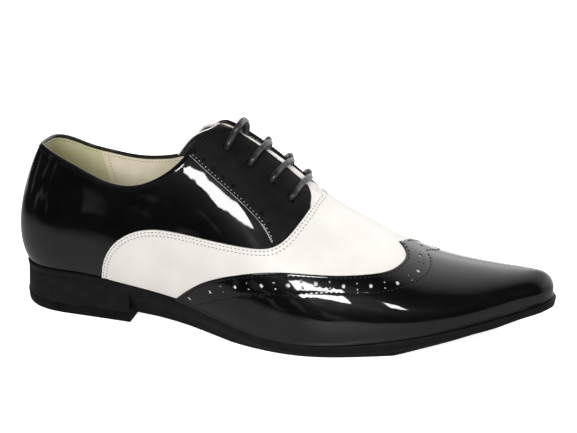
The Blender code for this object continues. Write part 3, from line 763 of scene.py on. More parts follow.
def stitching(name, rows, finish):
    """One piece of all the sewn rows of a panel: each row is a curve, a height and its sizes."""
    points, faces = [], []
    first = 0
    for curve, height, sizes in rows:
        made, cells = stitch_row(curve, height, **sizes)
        points.append(made)
        faces += [tuple(k + first for k in cell) for cell in cells]
        first += len(made)
    return make_piece(name, np.concatenate(points), faces, [finish], 1.6)


def patent_finish(name):
    """Black leather under a thick clear lacquer, slightly uneven as it lies on the last."""
    material, tree, shader, place = new_finish(
        name, Coat_Weight=1.0, Coat_Roughness=0.035, Coat_IOR=1.6, Specular_IOR_Level=0.1)
    shade(tree, mottle(tree, place, 14.0, 3.0), shader, PATENT_BLACK)
    gloss(tree, mottle(tree, place, 8.0), shader, 0.25, 0.36)
    waves = [(mottle(tree, place, size, 1.0), depth) for size, depth in PATENT_WAVES]
    relief(tree, shader, *waves, sockets=("Normal", "Coat Normal"))
    return material


def thread_finish(name, colours):
    """Waxed sewing thread with a fine twist."""
    material, tree, shader, place = new_finish(name, Specular_IOR_Level=0.4)
    shade(tree, mottle(tree, place, 1.3, 2.0), shader, colours)
    gloss(tree, mottle(tree, place, 2.0), shader, 0.42, 0.6)
    relief(tree, shader, (mottle(tree, place, 0.25), 0.05))
    return material


OPENING_SIDES = opening_sides()
OPENING = loop_round(*OPENING_SIDES)
ALL_EYELETS = [*eyelet_holes(LATERAL), *eyelet_holes(MEDIAL)]
black_patent = patent_finish("black_patent")
black_thread = thread_finish("black_thread", BLACK_THREAD)
lap_outer, lap_inner = both_edges([(station + VAMP_LAP, share) for station, share in VAMP_EDGE])
heel_line = sole_edge(lap_inner[0, 0], 1.0)
heel_line = np.vstack([heel_line[:-1], sole_edge(0.0, lap_outer[0, 0])])
quarter_outline = loop(lap_outer, lap_inner[::-1], heel_line)
topline_rows, topline_points = [], []
for side, (collar, _, _) in zip((LATERAL, MEDIAL), OPENING_SIDES):
    stretch = collar[station_of(collar[:, 0]) < TOPLINE_FRONT]
    topline_points.append(last_point(*stretch.T))
    topline_rows.append(shifted(stretch, side * TOPLINE_ROW))
quarters = leather("quarters", quarter_outline, [OPENING, *ALL_EYELETS], -QUARTER_THICK, 0.0,
                   [black_patent], topline_rows, groove=0.05,
                   rolled=(dense(topline_points), TOPLINE_DEPTH))
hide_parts("upper")
topline_stitches = stitching("topline_stitches", [(row, 0.0, {}) for row in topline_rows],
                             black_thread)


# Lining: soft beige leather round the heel and smooth cream leather in front, which laps over it and
# is sewn to it inside the ankle. Both are glued to the quarters and caught under the folded topline.
LINING_OUT, LINING_IN, HEEL_LINING_IN = -1.0, -2.3, -1.9
LINING_SEAM = ((47.5, 0.0), (42.5, 0.2), (39.3, 0.319), (36.9, 0.409), (34.6, 0.502),
               (32.0, 0.60))
LINING_LAP = 4.0
FOLD_FADE = 6.0
LINING_SEAM_ROW = 3.4
LINING_TOP_ROW = 1.3
CREAM = ((0.70, 0.635, 0.49), (0.79, 0.725, 0.58))
BEIGE = ((0.55, 0.535, 0.335), (0.63, 0.615, 0.40))
TAN_THREAD = ((0.16, 0.125, 0.08), (0.26, 0.21, 0.15))
LINING_STITCH = dict(pitch=2.2, length=1.25, thick=0.2, way=-1.0)


def lining_finish(name, colours):
    """Soft lining leather with a fine, matt grain."""
    material, tree, shader, place = new_finish(name, Specular_IOR_Level=0.3, Sheen_Weight=0.08)
    shade(tree, mottle(tree, place, 11.0, 4.0), shader, colours)
    gloss(tree, mottle(tree, place, 5.0), shader, 0.55, 0.75)
    relief(tree, shader, (pebble(tree, place, 0.8), 0.04), (mottle(tree, place, 9.0), 0.2))
    return material


def rising(x, start, end):
    """A share that rises from 0 at the start to 1 at the end and is level past both."""
    return np.clip((x - start) / (end - start), 0, 1)


def lining_top(side):
    """Top edge of the lining, below the folded topline and up to the edge at the facing."""
    collar = collar_edge(side)
    folded = rising(station_of(collar[:, 0]), TOPLINE_FRONT, TOPLINE_FRONT - FOLD_FADE)
    return shifted(collar, side * ROLL_WIDTH * folded[:, None])


def lining_seam(rows, side):
    """Seam from the sole up to the lining's top edge, and that edge behind and ahead of it."""
    top = lining_top(side)
    seam = edge(rows, side)
    top_stations = station_of(top[:, 0])
    seam = seam[seam[:, 1] < np.interp(station_of(seam[:, 0]), top_stations, top[:, 1]) - 0.008]
    ahead = top_stations > station_of(seam[-1, 0])
    return seam, top[~ahead], top[ahead]


cream_lining = lining_finish("cream_lining", CREAM)
beige_lining = lining_finish("beige_lining", BEIGE)
tan_thread = thread_finish("tan_thread", TAN_THREAD)
front_seams = [lining_seam(LINING_SEAM, side) for side in (LATERAL, MEDIAL)]
lapped_seam = tuple((station + LINING_LAP, share) for station, share in LINING_SEAM)
heel_seams = [lining_seam(lapped_seam, side) for side in (LATERAL, MEDIAL)]

(outer_seam, _, outer_front), (inner_seam, _, inner_front) = front_seams
front_outline = loop(
    np.vstack([outer_seam, outer_front]), *OPENING_SIDES[0][1:],
    *[piece[::-1] for piece in OPENING_SIDES[1][:0:-1]],
    np.vstack([inner_front[::-1], inner_seam[::-1]]),
    sole_edge(inner_seam[0, 0], outer_seam[0, 0]))
lining = leather("lining", front_outline, ALL_EYELETS, LINING_IN, LINING_OUT, [cream_lining])

(outer_seam, outer_back, _), (inner_seam, inner_back, _) = heel_seams
heel_outline = loop(
    np.vstack([outer_back, outer_seam[::-1]]), sole_edge(outer_seam[0, 0], 0.0),
    sole_edge(1.0, inner_seam[0, 0]), np.vstack([inner_seam, inner_back[::-1]]))
heel_lining = leather("heel_lining", heel_outline, [], HEEL_LINING_IN, LINING_OUT, [beige_lining])

lining_rows = []
for (seam, back, front), side in zip(front_seams, (LATERAL, MEDIAL)):
    behind = front[station_of(front[:, 0]) < TOPLINE_FRONT]
    lining_rows += [
        (shifted(seam, side * LINING_SEAM_ROW)[4:], LINING_IN, LINING_STITCH),
        (shifted(behind, side * LINING_TOP_ROW), LINING_IN, LINING_STITCH),
        (shifted(back, side * LINING_TOP_ROW), HEEL_LINING_IN, LINING_STITCH)]
lining_stitches = stitching("lining_stitches", lining_rows, tan_thread)


# Facings: a matt black lace stay over the top of each quarter, with four punched eyelets and a row
# of pinholes inside its rear seam. It is sewn down along that seam, its top and the lacing.
FACING_TOP = 1.4
FACING_SEAM = ((107.5, 0.752), (117.0, 0.711), (130.6, 0.663), (142.0, 0.622), (149.5, 0.582),
               (155.5, 0.522))
FACING_FRONT = ((168.5, 0.955), (170.8, 0.91), (171.4, 0.855))
FACING_CORNER = 2.0
SEAM_CLEARANCE = 0.15
ON_QUARTER = 0.04
PINHOLES = 10
PINHOLE_RADIUS = 1.1
PINHOLE_SIDES = 8
PINHOLE_INSETS = 3.9, 5.2
PINHOLE_ENDS = 0.03, 0.97
WIDE_EYELET = 2.2
# Width of the pale band along the rear seam's edge: a painted highlight, standing in for the rolled
# edge catching the light.
SEAM_HIGHLIGHT_WIDTH = 0.35
SEAM_ROW, TOP_ROW = 1.7, 1.6
SEAM_STITCH = dict(pitch=2.3, length=0.7, thick=0.22)
MATT_BLACK = ((0.0036, 0.0038, 0.0040), (0.0064, 0.0067, 0.0070))
# Colours of that band: a painted highlight, not the leather's own colour.
SEAM_HIGHLIGHT_COLOURS = ((0.35, 0.35, 0.345), (0.80, 0.80, 0.79))
# Pale seam thread: a painted highlight, its paleness standing in for glints on the stitches.
SEAM_GLINT_COLOURS = ((0.50, 0.50, 0.49), (0.85, 0.85, 0.84))

matt_black, tree, shader, place = new_finish("matt_black_leather", Specular_IOR_Level=0.14)
shade(tree, mottle(tree, place, 7.0, 4.0), shader, MATT_BLACK)
gloss(tree, mottle(tree, place, 3.0), shader, 0.46, 0.58)
relief(tree, shader, (pebble(tree, place, 0.7), 0.035), (mottle(tree, place, 14.0), 0.2))
# The pale finish of the seam edge is a painted highlight.
seam_highlight_finish, tree, shader, place = new_finish("painted_seam_highlight", Specular_IOR_Level=0.5)
shade(tree, mottle(tree, place, 1.5, 3.0), shader, SEAM_HIGHLIGHT_COLOURS, 0.3, 0.6)
gloss(tree, mottle(tree, place, 2.0), shader, 0.3, 0.45)
# The pale seam thread is a painted highlight: glints painted into the thread's colour.
painted_glint_thread = thread_finish("painted_glint_thread", SEAM_GLINT_COLOURS)


def facing_vamp_edge(side):
    """Stretch of the vamp's edge along the facing, a clearance above it, front to back."""
    clear = shifted(edge(VAMP_EDGE, side), -side * SEAM_CLEARANCE)
    behind_front = clear[:, 1] < FACING_FRONT[-1][1] - FACING_CORNER / SHARE_LENGTH
    ahead_of_seam = station_of(clear[:, 0]) > FACING_SEAM[-1][0] + FACING_CORNER
    return clear[behind_front & ahead_of_seam][::-1]


for side, facing_name in ((LATERAL, "facing_lateral"), (MEDIAL, "facing_medial")):
    collar = collar_edge(side)
    top = collar[station_of(collar[:, 0]) > FACING_SEAM[0][0] + 1.0]
    seam = edge(FACING_SEAM, side)
    front = edge(FACING_FRONT, side)
    lacing = lacing_edge(side, LACING_TOP, FACING_FRONT[0][0])
    outline = np.concatenate([seam[:1], top[:-1], lacing[:-1], front, facing_vamp_edge(side),
                              seam[:0:-1]])
    insets = np.linspace(*PINHOLE_INSETS, len(seam))[:, None]
    pin_line = resample(*shifted(seam, -side * insets).T, 0.3)
    pin_marks = np.linspace(*(len(pin_line) * np.array(PINHOLE_ENDS)), PINHOLES)
    holes = eyelet_holes(side, WIDE_EYELET)
    for u, v in pin_line[pin_marks.astype(int)]:
        holes.append(round_hole(u, v, PINHOLE_RADIUS, PINHOLE_SIDES))
    seam_row = shifted(seam, -side * SEAM_ROW)[1:]
    top_row = shifted(np.vstack([top, lacing]), side * TOP_ROW)
    seam_points = dense([last_point(*seam.T)])
    # Faces within that width of the rear seam take the pale finish, a painted highlight along the
    # seam's edge.
    facing = leather(facing_name + "_leather", outline, holes, ON_QUARTER, FACING_TOP,
                     [matt_black, seam_highlight_finish], [seam_row, top_row],
                     paint=lambda u, v: 1.0 * (distances(last_point(u, v), seam_points) < SEAM_HIGHLIGHT_WIDTH))
    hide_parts(facing_name)
    # The seam stitches use the pale thread, whose paleness is a painted highlight.
    seam_stitches = stitching(facing_name + "_seam_stitches", [(seam_row, FACING_TOP, SEAM_STITCH)],
                              painted_glint_thread)
    top_stitches = stitching(facing_name + "_top_stitches", [(top_row, FACING_TOP, {})],
                             black_thread)


# Vamp: smooth white leather over the instep and down both sides, lapped over the quarters and sewn
# with two rows of grey thread. Its front runs on under the wing cap.
VAMP_TOP = 1.35
CAP_EDGE_OUTER = ((99.0, 0.0), (114.5, 0.145), (138.0, 0.291), (171.0, 0.428), (205.0, 0.535),
                  (216.0, 0.612), (221.2, 0.708), (223.3, 0.815), (221.2, 0.912), (218.6, 0.957))
CAP_EDGE_INNER = CAP_EDGE_OUTER[:3] + (
    (171.0, 0.42), (206.0, 0.51), (219.0, 0.565), (226.5, 0.635), (228.3, 0.70), (226.8, 0.765),
    (223.6, 0.88), (220.6, 1.0))
VAMP_UNDER_CAP = ((126.0, 0.0), (146.0, 0.12), (171.0, 0.24), (205.0, 0.33), (226.0, 0.42),
                  (240.0, 0.60), (243.0, 0.8), (241.0, 1.0))
PANEL_LIFT = 0.9
VAMP_ROWS = 1.15, 3.0
VAMP_STITCH = dict(pitch=2.2, length=1.2, thick=0.25)
WHITE = ((0.83, 0.80, 0.75), (0.885, 0.855, 0.805))
GREY_THREAD = ((0.16, 0.16, 0.155), (0.26, 0.26, 0.25))

white_leather, tree, shader, place = new_finish(
    "white_leather", Specular_IOR_Level=0.45, Coat_Weight=0.15, Coat_Roughness=0.25)
shade(tree, mottle(tree, place, 16.0, 4.0), shader, WHITE)
gloss(tree, mottle(tree, place, 6.0), shader, 0.34, 0.46)
relief(tree, shader, (pebble(tree, place, 0.6), 0.02), (mottle(tree, place, 18.0), 0.25))
grey_thread = thread_finish("grey_thread", GREY_THREAD)


def lifted(curve):
    """The curve with its feet drawn up a little from the sole's edge."""
    u, v = curve.T
    return np.column_stack([u, np.maximum(v, PANEL_LIFT / girth(u))])


def cap_edge(side):
    """Edge of the wing cap on one side, up to the ridge."""
    if side == MEDIAL:
        return edge(CAP_EDGE_INNER, side)
    outer = edge(CAP_EDGE_OUTER, side)
    crossing = np.array([outer[-1], (turn(CAP_EDGE_INNER[-1][0], side), 1.0)])
    return np.vstack([outer[:-1], resample(*crossing.T)])


vamp_outer, vamp_inner = both_edges(VAMP_EDGE)
under_outer, under_inner = both_edges(VAMP_UNDER_CAP)
vamp_outline = lifted(loop(
    vamp_outer, vamp_inner[::-1], sole_edge(vamp_inner[0, 0], under_inner[0, 0]),
    under_inner, under_outer[::-1], sole_edge(under_outer[0, 0], vamp_outer[0, 0])))
vamp_rows = []
for curve, side in ((vamp_outer, LATERAL), (vamp_inner, MEDIAL)):
    for inset in VAMP_ROWS:
        vamp_rows.append(shifted(curve, side * inset)[2:])
vamp = leather("vamp_leather", vamp_outline, [], ON_QUARTER, VAMP_TOP, [white_leather], vamp_rows,
               groove=0.05)
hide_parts("vamp")
vamp_stitches = stitching("vamp_stitches", [(row, VAMP_TOP, VAMP_STITCH) for row in vamp_rows],
                          grey_thread)


# Throat piece: the white leather root of the tongue, which shows as a small lobe between the fronts
# of the facings and the vamp's point. It is sewn in under both and bulges a little.
THROAT_BACK = ((165.0, 1.0), (165.4, 0.955), (167.4, 0.90), (168.6, 0.855), (169.8, 0.82))
THROAT_FRONT = ((169.8, 0.82), (173.5, 0.79), (176.5, 0.82), (178.4, 0.90), (179.0, 1.0))
THROAT_MIDDLE = (171.2, 0.93)
THROAT_BULGE = 1.2
THROAT_SPREAD = 4.0, 6.5
THROAT_UNDER, THROAT_TOP = -0.9, 0.0

throat_outline = loop_round(*zip(both_edges(THROAT_BACK), both_edges(THROAT_FRONT)))


def throat_bulge(u, v):
    """The throat piece swells between the leather edges that hold it down."""
    across = (1 - v) * girth(u)
    middle_across = (1 - THROAT_MIDDLE[1]) * girth(u)
    away = np.hypot((station_of(u) - THROAT_MIDDLE[0]) / THROAT_SPREAD[0],
                    (across - middle_across) / THROAT_SPREAD[1])
    return THROAT_BULGE * np.exp(-away ** 2)


throat = leather("throat_piece", throat_outline, [], THROAT_UNDER, THROAT_TOP, [white_leather],
                 form=throat_bulge)


# Wing cap: black patent leather round the toe, pointed at the ridge, with wings running back to the
# waist. Its edge is punched with a brogue band between two sewn rows, over the white vamp.
CAP_TOP = 2.2
CAP_OVER_VAMP, CAP_OVER_UPPER = 1.4, 0.3
CAP_LAP = 13.0
CAP_EDGE_ROW = 1.5
BROGUE_OUTER = ((109.3, 0.050), (122.8, 0.144), (137.6, 0.231), (151.9, 0.291), (165.8, 0.344),
                (179.5, 0.395), (193.4, 0.418), (207.1, 0.452), (220.5, 0.512), (230.5, 0.676),
                (230.5, 0.883))
BROGUE_INNER = BROGUE_OUTER[:4] + (
    (165.8, 0.340), (179.5, 0.383), (193.4, 0.404), (207.5, 0.428), (221.5, 0.470), (232.5, 0.575),
    (234.8, 0.730), (230.8, 0.905))
BIG_HOLE, BIG_HOLE_SIDES = 1.0, 16
SMALL_HOLE, SMALL_HOLE_SIDES = 0.45, 10
PAIR_SPREAD = 1.55
EDGE_MARGIN, HOLE_MARGIN = 1.6, 0.8
CAP_STITCH = dict(pitch=2.6, length=1.75, thick=0.33)
CAP_FOOT, CAP_FOOT_RISE = 0.9, 0.85
SECOND_ROW_OUTER = ((113.3, 0.032), (133.1, 0.154), (143.1, 0.21), (162.3, 0.283), (171.3, 0.315),
                    (186.6, 0.364), (202.9, 0.388), (209.1, 0.404), (217.8, 0.445), (226.4, 0.517),
                    (233.7, 0.63), (236.6, 0.76), (236.6, 0.85), (235.0, 0.95), (232.6, 1.0))
SECOND_ROW_INNER = SECOND_ROW_OUTER[:4] + (
    (186.6, 0.35), (205.0, 0.39), (222.0, 0.44), (234.0, 0.54), (240.0, 0.66), (241.2, 0.745),
    (239.0, 0.85), (232.6, 1.0))

patent_cap = patent_finish("black_patent_cap")
cap_outer, cap_inner = cap_edge(LATERAL), cap_edge(MEDIAL)
cap_outline = lifted(loop(cap_outer, cap_inner[::-1], sole_edge(cap_inner[0, 0], cap_outer[0, 0])))
cap_rim = dense([last_point(*cap_outline.T)], 0.5)
cap_holes = []
cap_rows = []
punched = []


def punch(u, v, radius, sides):
    """Punch a hole in the cap, where it clears the edge and the holes made before."""
    centre = last_point(u, v)
    clear = np.linalg.norm(cap_rim - centre, axis=1).min() > radius + EDGE_MARGIN
    for other, size in punched:
        clear &= np.linalg.norm(centre - other) > radius + size + HOLE_MARGIN
    if clear:
        cap_holes.append(round_hole(u, v, radius, sides))
        punched.append((centre, radius))


for curve, second, holes, side in ((cap_outer, SECOND_ROW_OUTER, BROGUE_OUTER, LATERAL),
                                   (cap_inner, SECOND_ROW_INNER, BROGUE_INNER, MEDIAL)):
    line, marks = smooth_line(holes)
    for station, share in holes:
        punch(turn(station, side), share, BIG_HOLE, BIG_HOLE_SIDES)
    for mark in (marks[1:] + marks[:-1]) / 2:
        middle = line(mark + np.array([-0.5, 0.0, 0.5]))
        middle = np.column_stack([turn(middle[:, 0], side), middle[:, 1]])
        for way in (-PAIR_SPREAD, PAIR_SPREAD):
            punch(*shifted(middle, way)[1], SMALL_HOLE, SMALL_HOLE_SIDES)
    cap_rows += [shifted(curve, side * CAP_EDGE_ROW)[2:-2], edge(second, side)]
cap_edge_points = dense([last_point(*cap_outer.T), last_point(*cap_inner.T)], 0.5)


def cap_underside(u, v):
    """The cap lies on the vamp near its edge and on the upper further in."""
    from_edge = distances(last_point(u, v), cap_edge_points)
    return np.where(from_edge < CAP_LAP, CAP_OVER_VAMP, CAP_OVER_UPPER)


def cap_foot(u, v):
    """The foot of the cap turns out a little over the sole's ledge."""
    return CAP_FOOT * np.exp(-((v * girth(u) - PANEL_LIFT) / CAP_FOOT_RISE) ** 2)


wing_cap = leather("wing_cap_leather", cap_outline, cap_holes, cap_underside, CAP_TOP, [patent_cap],
                   cap_rows, groove=0.1, form=cap_foot)
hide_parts("wing_cap")
cap_stitches = stitching("wing_cap_stitches", [(row, CAP_TOP, CAP_STITCH) for row in cap_rows],
                         black_thread)


# Tongue: a padded white leather tongue under the lacing, bulging up into its gap. Its top end is
# covered in black leather up to a white cut edge and stands a little out of the facings.
TONGUE_TOP, TONGUE_UNDER = -2.8, -4.8
TONGUE_HALF_WIDTH = 30.0
TONGUE_PROUD = 4.5
TONGUE_ROUND = 2.0
TONGUE_END = 180.0
TONGUE_SIDE = COLLAR[-3][0] - TONGUE_PROUD
TONGUE_SWELL = ((125.0, 1.0), (145.0, 2.3), (160.0, 3.9), (172.0, 4.6))
SWELL_REACH = 3.6
SWELL_BACK, SWELL_FRONT = (120.0, 128.0), (178.0, 172.0)
TONGUE_PAD = 1.6
PAD_REACH = 16.0
PAD_BACK, PAD_FRONT = (118.0, 126.0), (180.0, 176.0)
TONGUE_COVER = 13.0
TONGUE_RIM = 0.9
GRAINED_BLACK = ((0.003, 0.003, 0.003), (0.016, 0.016, 0.0165))

tongue_leather, tree, shader, place = new_finish("white_tongue", Specular_IOR_Level=0.4)
shade(tree, mottle(tree, place, 10.0, 4.0), shader, WHITE)
gloss(tree, mottle(tree, place, 4.0), shader, 0.42, 0.55)
relief(tree, shader, (pebble(tree, place, 0.8), 0.03), (mottle(tree, place, 10.0), 0.2))
grained_black, tree, shader, place = new_finish("grained_black_leather", Specular_IOR_Level=0.2)
shade(tree, pebble(tree, place, 1.1), shader, GRAINED_BLACK, 0.2, 0.8)
gloss(tree, mottle(tree, place, 2.0), shader, 0.3, 0.45)
relief(tree, shader, (pebble(tree, place, 1.1), 0.25))


def tongue_tops():
    """Rounded top edge of the tongue on each side, flank to ridge."""
    tops = []
    for side in (LATERAL, MEDIAL):
        rows = [(TONGUE_SIDE, 1 - TONGUE_HALF_WIDTH / girth(turn(TONGUE_SIDE, side)))]
        rows += [(station - TONGUE_PROUD, share) for station, share, _ in COLLAR[-2:]]
        rows += [(LACING_TOP - TONGUE_PROUD - TONGUE_ROUND, 1.0)]
        tops.append(edge(rows, side))
    return tops


TONGUE_TOPS = tongue_tops()
tongue_top_points = dense([last_point(*top.T) for top in TONGUE_TOPS], 0.4)


def tongue_outline():
    """Round the tongue: hidden front end, flanks inside the quarters and rounded top."""
    halves = []
    for side, top in zip((LATERAL, MEDIAL), TONGUE_TOPS):
        u = turn(np.linspace(TONGUE_END, TONGUE_SIDE, 200), side)
        flank = resample(u, 1 - TONGUE_HALF_WIDTH / girth(u))
        front = resample(np.full(200, u[0]), np.linspace(1, flank[0, 1], 200))
        halves.append([front, flank, top])
    return loop_round(*halves)


def along_ridge(u, v, reach, back, front):
    """A share that is 1 along the ridge and fades out sideways and at both ends."""
    stations = station_of(u)
    near_ridge = np.exp(-((1 - v) * girth(u) / reach) ** 4)
    return near_ridge * rising(stations, *back) * rising(stations, *front)


def tongue_swell(u, v):
    """The tongue pushed up into the lacing's gap."""
    height = np.interp(station_of(u), *np.array(TONGUE_SWELL).T)
    return height * along_ridge(u, v, SWELL_REACH, SWELL_BACK, SWELL_FRONT)


def tongue_cover(u, v):
    """Black leather covers the top end, short of its white cut edge."""
    from_top = distances(last_point(u, v), tongue_top_points)
    return 1.0 * ((from_top > TONGUE_RIM) & (from_top < TONGUE_COVER))


def tongue_back(u, v):
    """Back of the tongue, not drawn up with the swell and padded out behind the lace."""
    padding = TONGUE_PAD * along_ridge(u, v, PAD_REACH, PAD_BACK, PAD_FRONT)
    return TONGUE_UNDER - tongue_swell(u, v) - padding


tongue = leather("tongue_leather", tongue_outline(), [], tongue_back, TONGUE_TOP,
                 [tongue_leather, grained_black], form=tongue_swell, paint=tongue_cover)
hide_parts("tongue")


# Outsole: one thin moulded sole in black synthetic, cemented under the upper. Its edge stands out
# all round as a small ledge, and the side below it is drawn in at the waist.
SOLE_LEDGE = ((-2.0, 0.9), (60.0, 1.2), (110.0, 2.2), (175.0, 3.0), (240.0, 3.4), (290.0, 4.4),
              (302.3, 4.8))
SOLE_UNDERSIDE = ((71.4, 5.5), (88.0, 4.5), (101.0, 3.2), (118.0, 1.4), (134.0, 0.0), (222.0, 0.0),
                  (236.0, 3.2), (255.0, 7.0), (276.0, 11.3), (302.3, 18.2))
SOLE_EDGE, SEAT_EDGE, LEAST_UNDERCUT = 5.2, 4.2, 0.6
SOLE_UNDERCUT, SEAT_UNDERCUT = 2.2, 0.2
SOLE_DRAFT = 0.3
SOLE_CLEARANCE = 0.3
SOLE_ROUND = 0.7
SOLE_TOP_WIDTH = 6.0
TREAD_INSET = 0.5
SOLE_STEP = 2.0
BREAST, BREAST_STEP = 71.0, 0.4
SOLE_BLACK = ((0.0040, 0.0040, 0.0044), (0.0080, 0.0080, 0.0084))


def rubber_finish(name, colours, low, high, shine=0.1):
    """Moulded black synthetic with a dull skin and faint scuffs along its length."""
    material, tree, shader, place = new_finish(name, Specular_IOR_Level=shine)
    shade(tree, mottle(tree, place, 6.0, 5.0), shader, colours)
    gloss(tree, mottle(tree, place, 5.0, 4.0, (4.0, 1.0, 0.6)), shader, low, high)
    relief(tree, shader, (mottle(tree, place, 0.5, 3.0), 0.04), (mottle(tree, place, 9.0), 0.12))
    return material


def along(rows):
    """A measure read from a table, at turns of the outline."""
    rows = np.array(rows)
    return lambda u: np.interp(station_of(u), rows[:, 0], rows[:, 1])


def over_heel(x):
    return x < BREAST + BREAST_STEP / 2


def sole_top(x):
    return bed(x) - SOLE_CLEARANCE


def sole_underside(x):
    """Seat over the heel, then the low waist, the flat tread and the toe spring."""
    rows = np.array(SOLE_UNDERSIDE)
    seat = sole_top(x) - SEAT_EDGE - SEAT_UNDERCUT
    return np.where(over_heel(x), seat, np.interp(x, rows[:, 0], rows[:, 1]))


def sole_side_foot(x):
    """Lower corner of the sole's upright edge, above its undercut."""
    thick = np.where(over_heel(x), SEAT_EDGE, SOLE_EDGE)
    return np.maximum(sole_top(x) - thick, sole_underside(x) + LEAST_UNDERCUT)


def sole_undercut(u):
    return np.where(over_heel(station_of(u)), SEAT_UNDERCUT, SOLE_UNDERCUT)


def side_ring(share):
    """Ring at a share of the sole's upright edge, from its rounded top to its lower corner."""
    return (lambda u: sole_ledge(u) - SOLE_DRAFT * share,
            lambda x: sole_top(x) - SOLE_ROUND
            + (sole_side_foot(x) - sole_top(x) + SOLE_ROUND) * share)


def undercut_ring(share):
    """Ring at a share of the undercut, from the edge's lower corner to the tread."""
    return (lambda u: sole_ledge(u) - SOLE_DRAFT - (sole_undercut(u) - SOLE_DRAFT) * share ** 0.5,
            lambda x: sole_side_foot(x) + (sole_underside(x) - sole_side_foot(x)) * share)


sole_ledge = along(SOLE_LEDGE)
sole_rings = [(lambda u: sole_ledge(u) - SOLE_TOP_WIDTH, sole_top)]
for back, drop in rounding(SOLE_ROUND):
    sole_rings.append((lambda u, back=back: sole_ledge(u) - back,
                       lambda x, drop=drop: sole_top(x) - drop))
sole_rings += [side_ring(share) for share in (0.4, 0.8)]
sole_rings += [undercut_ring(share) for share in (0.0, 0.12, 0.5, 0.9, 1.0)]
sole_rings.append((lambda u: sole_ledge(u) - sole_undercut(u) - TREAD_INSET, sole_underside))
sole_stations = np.concatenate([outline_stations(HEEL_BACK, BREAST, SOLE_STEP),
                                outline_stations(BREAST + BREAST_STEP, TOE_TIP, SOLE_STEP)])
sole_finish = rubber_finish("sole_black", SOLE_BLACK, 0.42, 0.6, 0.2)
outsole = make_piece("outsole_unit", *stack_rings(sole_stations, sole_rings), [sole_finish])
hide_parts("outsole")


# Heel: a stacked block with a dull black edge, drawn in at mid height, on a rubber lift that stands
# out a little all round. Block and lift are nailed and cemented to the seat.
LIFT = 6.0
LIFT_LEDGE = 3.0
LIFT_ROUND = 0.3
LIFT_STEP = 0.35
HEEL_TOP = 21.0
HEEL_WAIST_LEDGE = 1.7
HEEL_WAIST_HEIGHT = 13.0
HEEL_GAP = 0.3
LIFT_GAP = 0.06
HEEL_BLACK = ((0.0078, 0.0078, 0.0078), (0.0108, 0.0108, 0.0108))
LIFT_BLACK = ((0.0035, 0.0035, 0.0038), (0.0070, 0.0070, 0.0073))

heel_stations = outline_stations(HEEL_BACK, BREAST - HEEL_GAP, SOLE_STEP)
heel_profile = spline((LIFT, HEEL_WAIST_HEIGHT, HEEL_TOP),
                      (LIFT_LEDGE - LIFT_STEP, HEEL_WAIST_LEDGE, SOLE_LEDGE[0][1] - SEAT_UNDERCUT))
heel_rings = []
for share in np.linspace(0, 1, 12):
    heel_rings.append((
        steady(heel_profile(HEEL_TOP - share * (HEEL_TOP - LIFT))[0]),
        lambda x, share=share: (sole_underside(x) - HEEL_GAP) * (1 - share) + LIFT * share))
heel_finish = rubber_finish("heel_black", HEEL_BLACK, 0.42, 0.6)
heel_block = make_piece("heel_stack", *stack_rings(heel_stations, heel_rings), [heel_finish])
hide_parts("heel_block")

lift_top, lift_foot = [], []
for back, drop in rounding(LIFT_ROUND):
    lift_top.append((steady(LIFT_LEDGE - back), steady(LIFT - LIFT_GAP - drop)))
    lift_foot.append((steady(LIFT_LEDGE - back), steady(drop)))
lift_rings = lift_top + lift_foot[::-1]
lift_finish = rubber_finish("lift_black", LIFT_BLACK, 0.5, 0.66)
heel_lift = make_piece("heel_lift_rubber", *stack_rings(heel_stations, lift_rings), [lift_finish])
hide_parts("heel_lift")


# Lace: a round black waxed cord, braided, laced criss-cross through the eight eyelets. Each arm
# crosses over its facing and dives under the other one, and the ends stop inside at the top.
CORD_RADIUS = 1.7
CORD_SIDES = 16
CORD_STEP = 0.45
BRAID_DEPTH = 0.07
BRAID_TURN = 6.0
LACE_LEADS = (3.5, 5.2, 5.8, 5.2)
LACE_HUMPS = (3.2, 0.5, 0.5, 0.5)
LACE_DIVES = (2.4, 0.7, 0.7, 0.7)
CORD_BLACK = ((0.006, 0.0058, 0.0055), (0.014, 0.0135, 0.013))

cord_finish, tree, shader, place = new_finish(
    "waxed_cord", Specular_IOR_Level=0.8, Sheen_Weight=0.1, Sheen_Roughness=0.4, Coat_Weight=0.7,
    Coat_Roughness=0.3, Coat_IOR=1.7)
shade(tree, mottle(tree, place, 2.0, 3.0), shader, CORD_BLACK)
gloss(tree, mottle(tree, place, 1.5), shader, 0.3, 0.5)
relief(tree, shader, (mottle(tree, place, 0.35, 2.0), 0.06))


def over_last(station, across, height):
    """Point at a distance across from the ridge (outer side negative) and a height."""
    side = LATERAL if across < 0 else MEDIAL
    u = turn(station, side)
    return surface(np.array(u), np.array(1 - abs(across) / girth(u)), np.array(height))


def eyelet_reach(number, side):
    """Station of an eyelet and its distance from the ridge."""
    station, share = EYELETS[number]
    return station, (1 - share) * girth(turn(station, side))


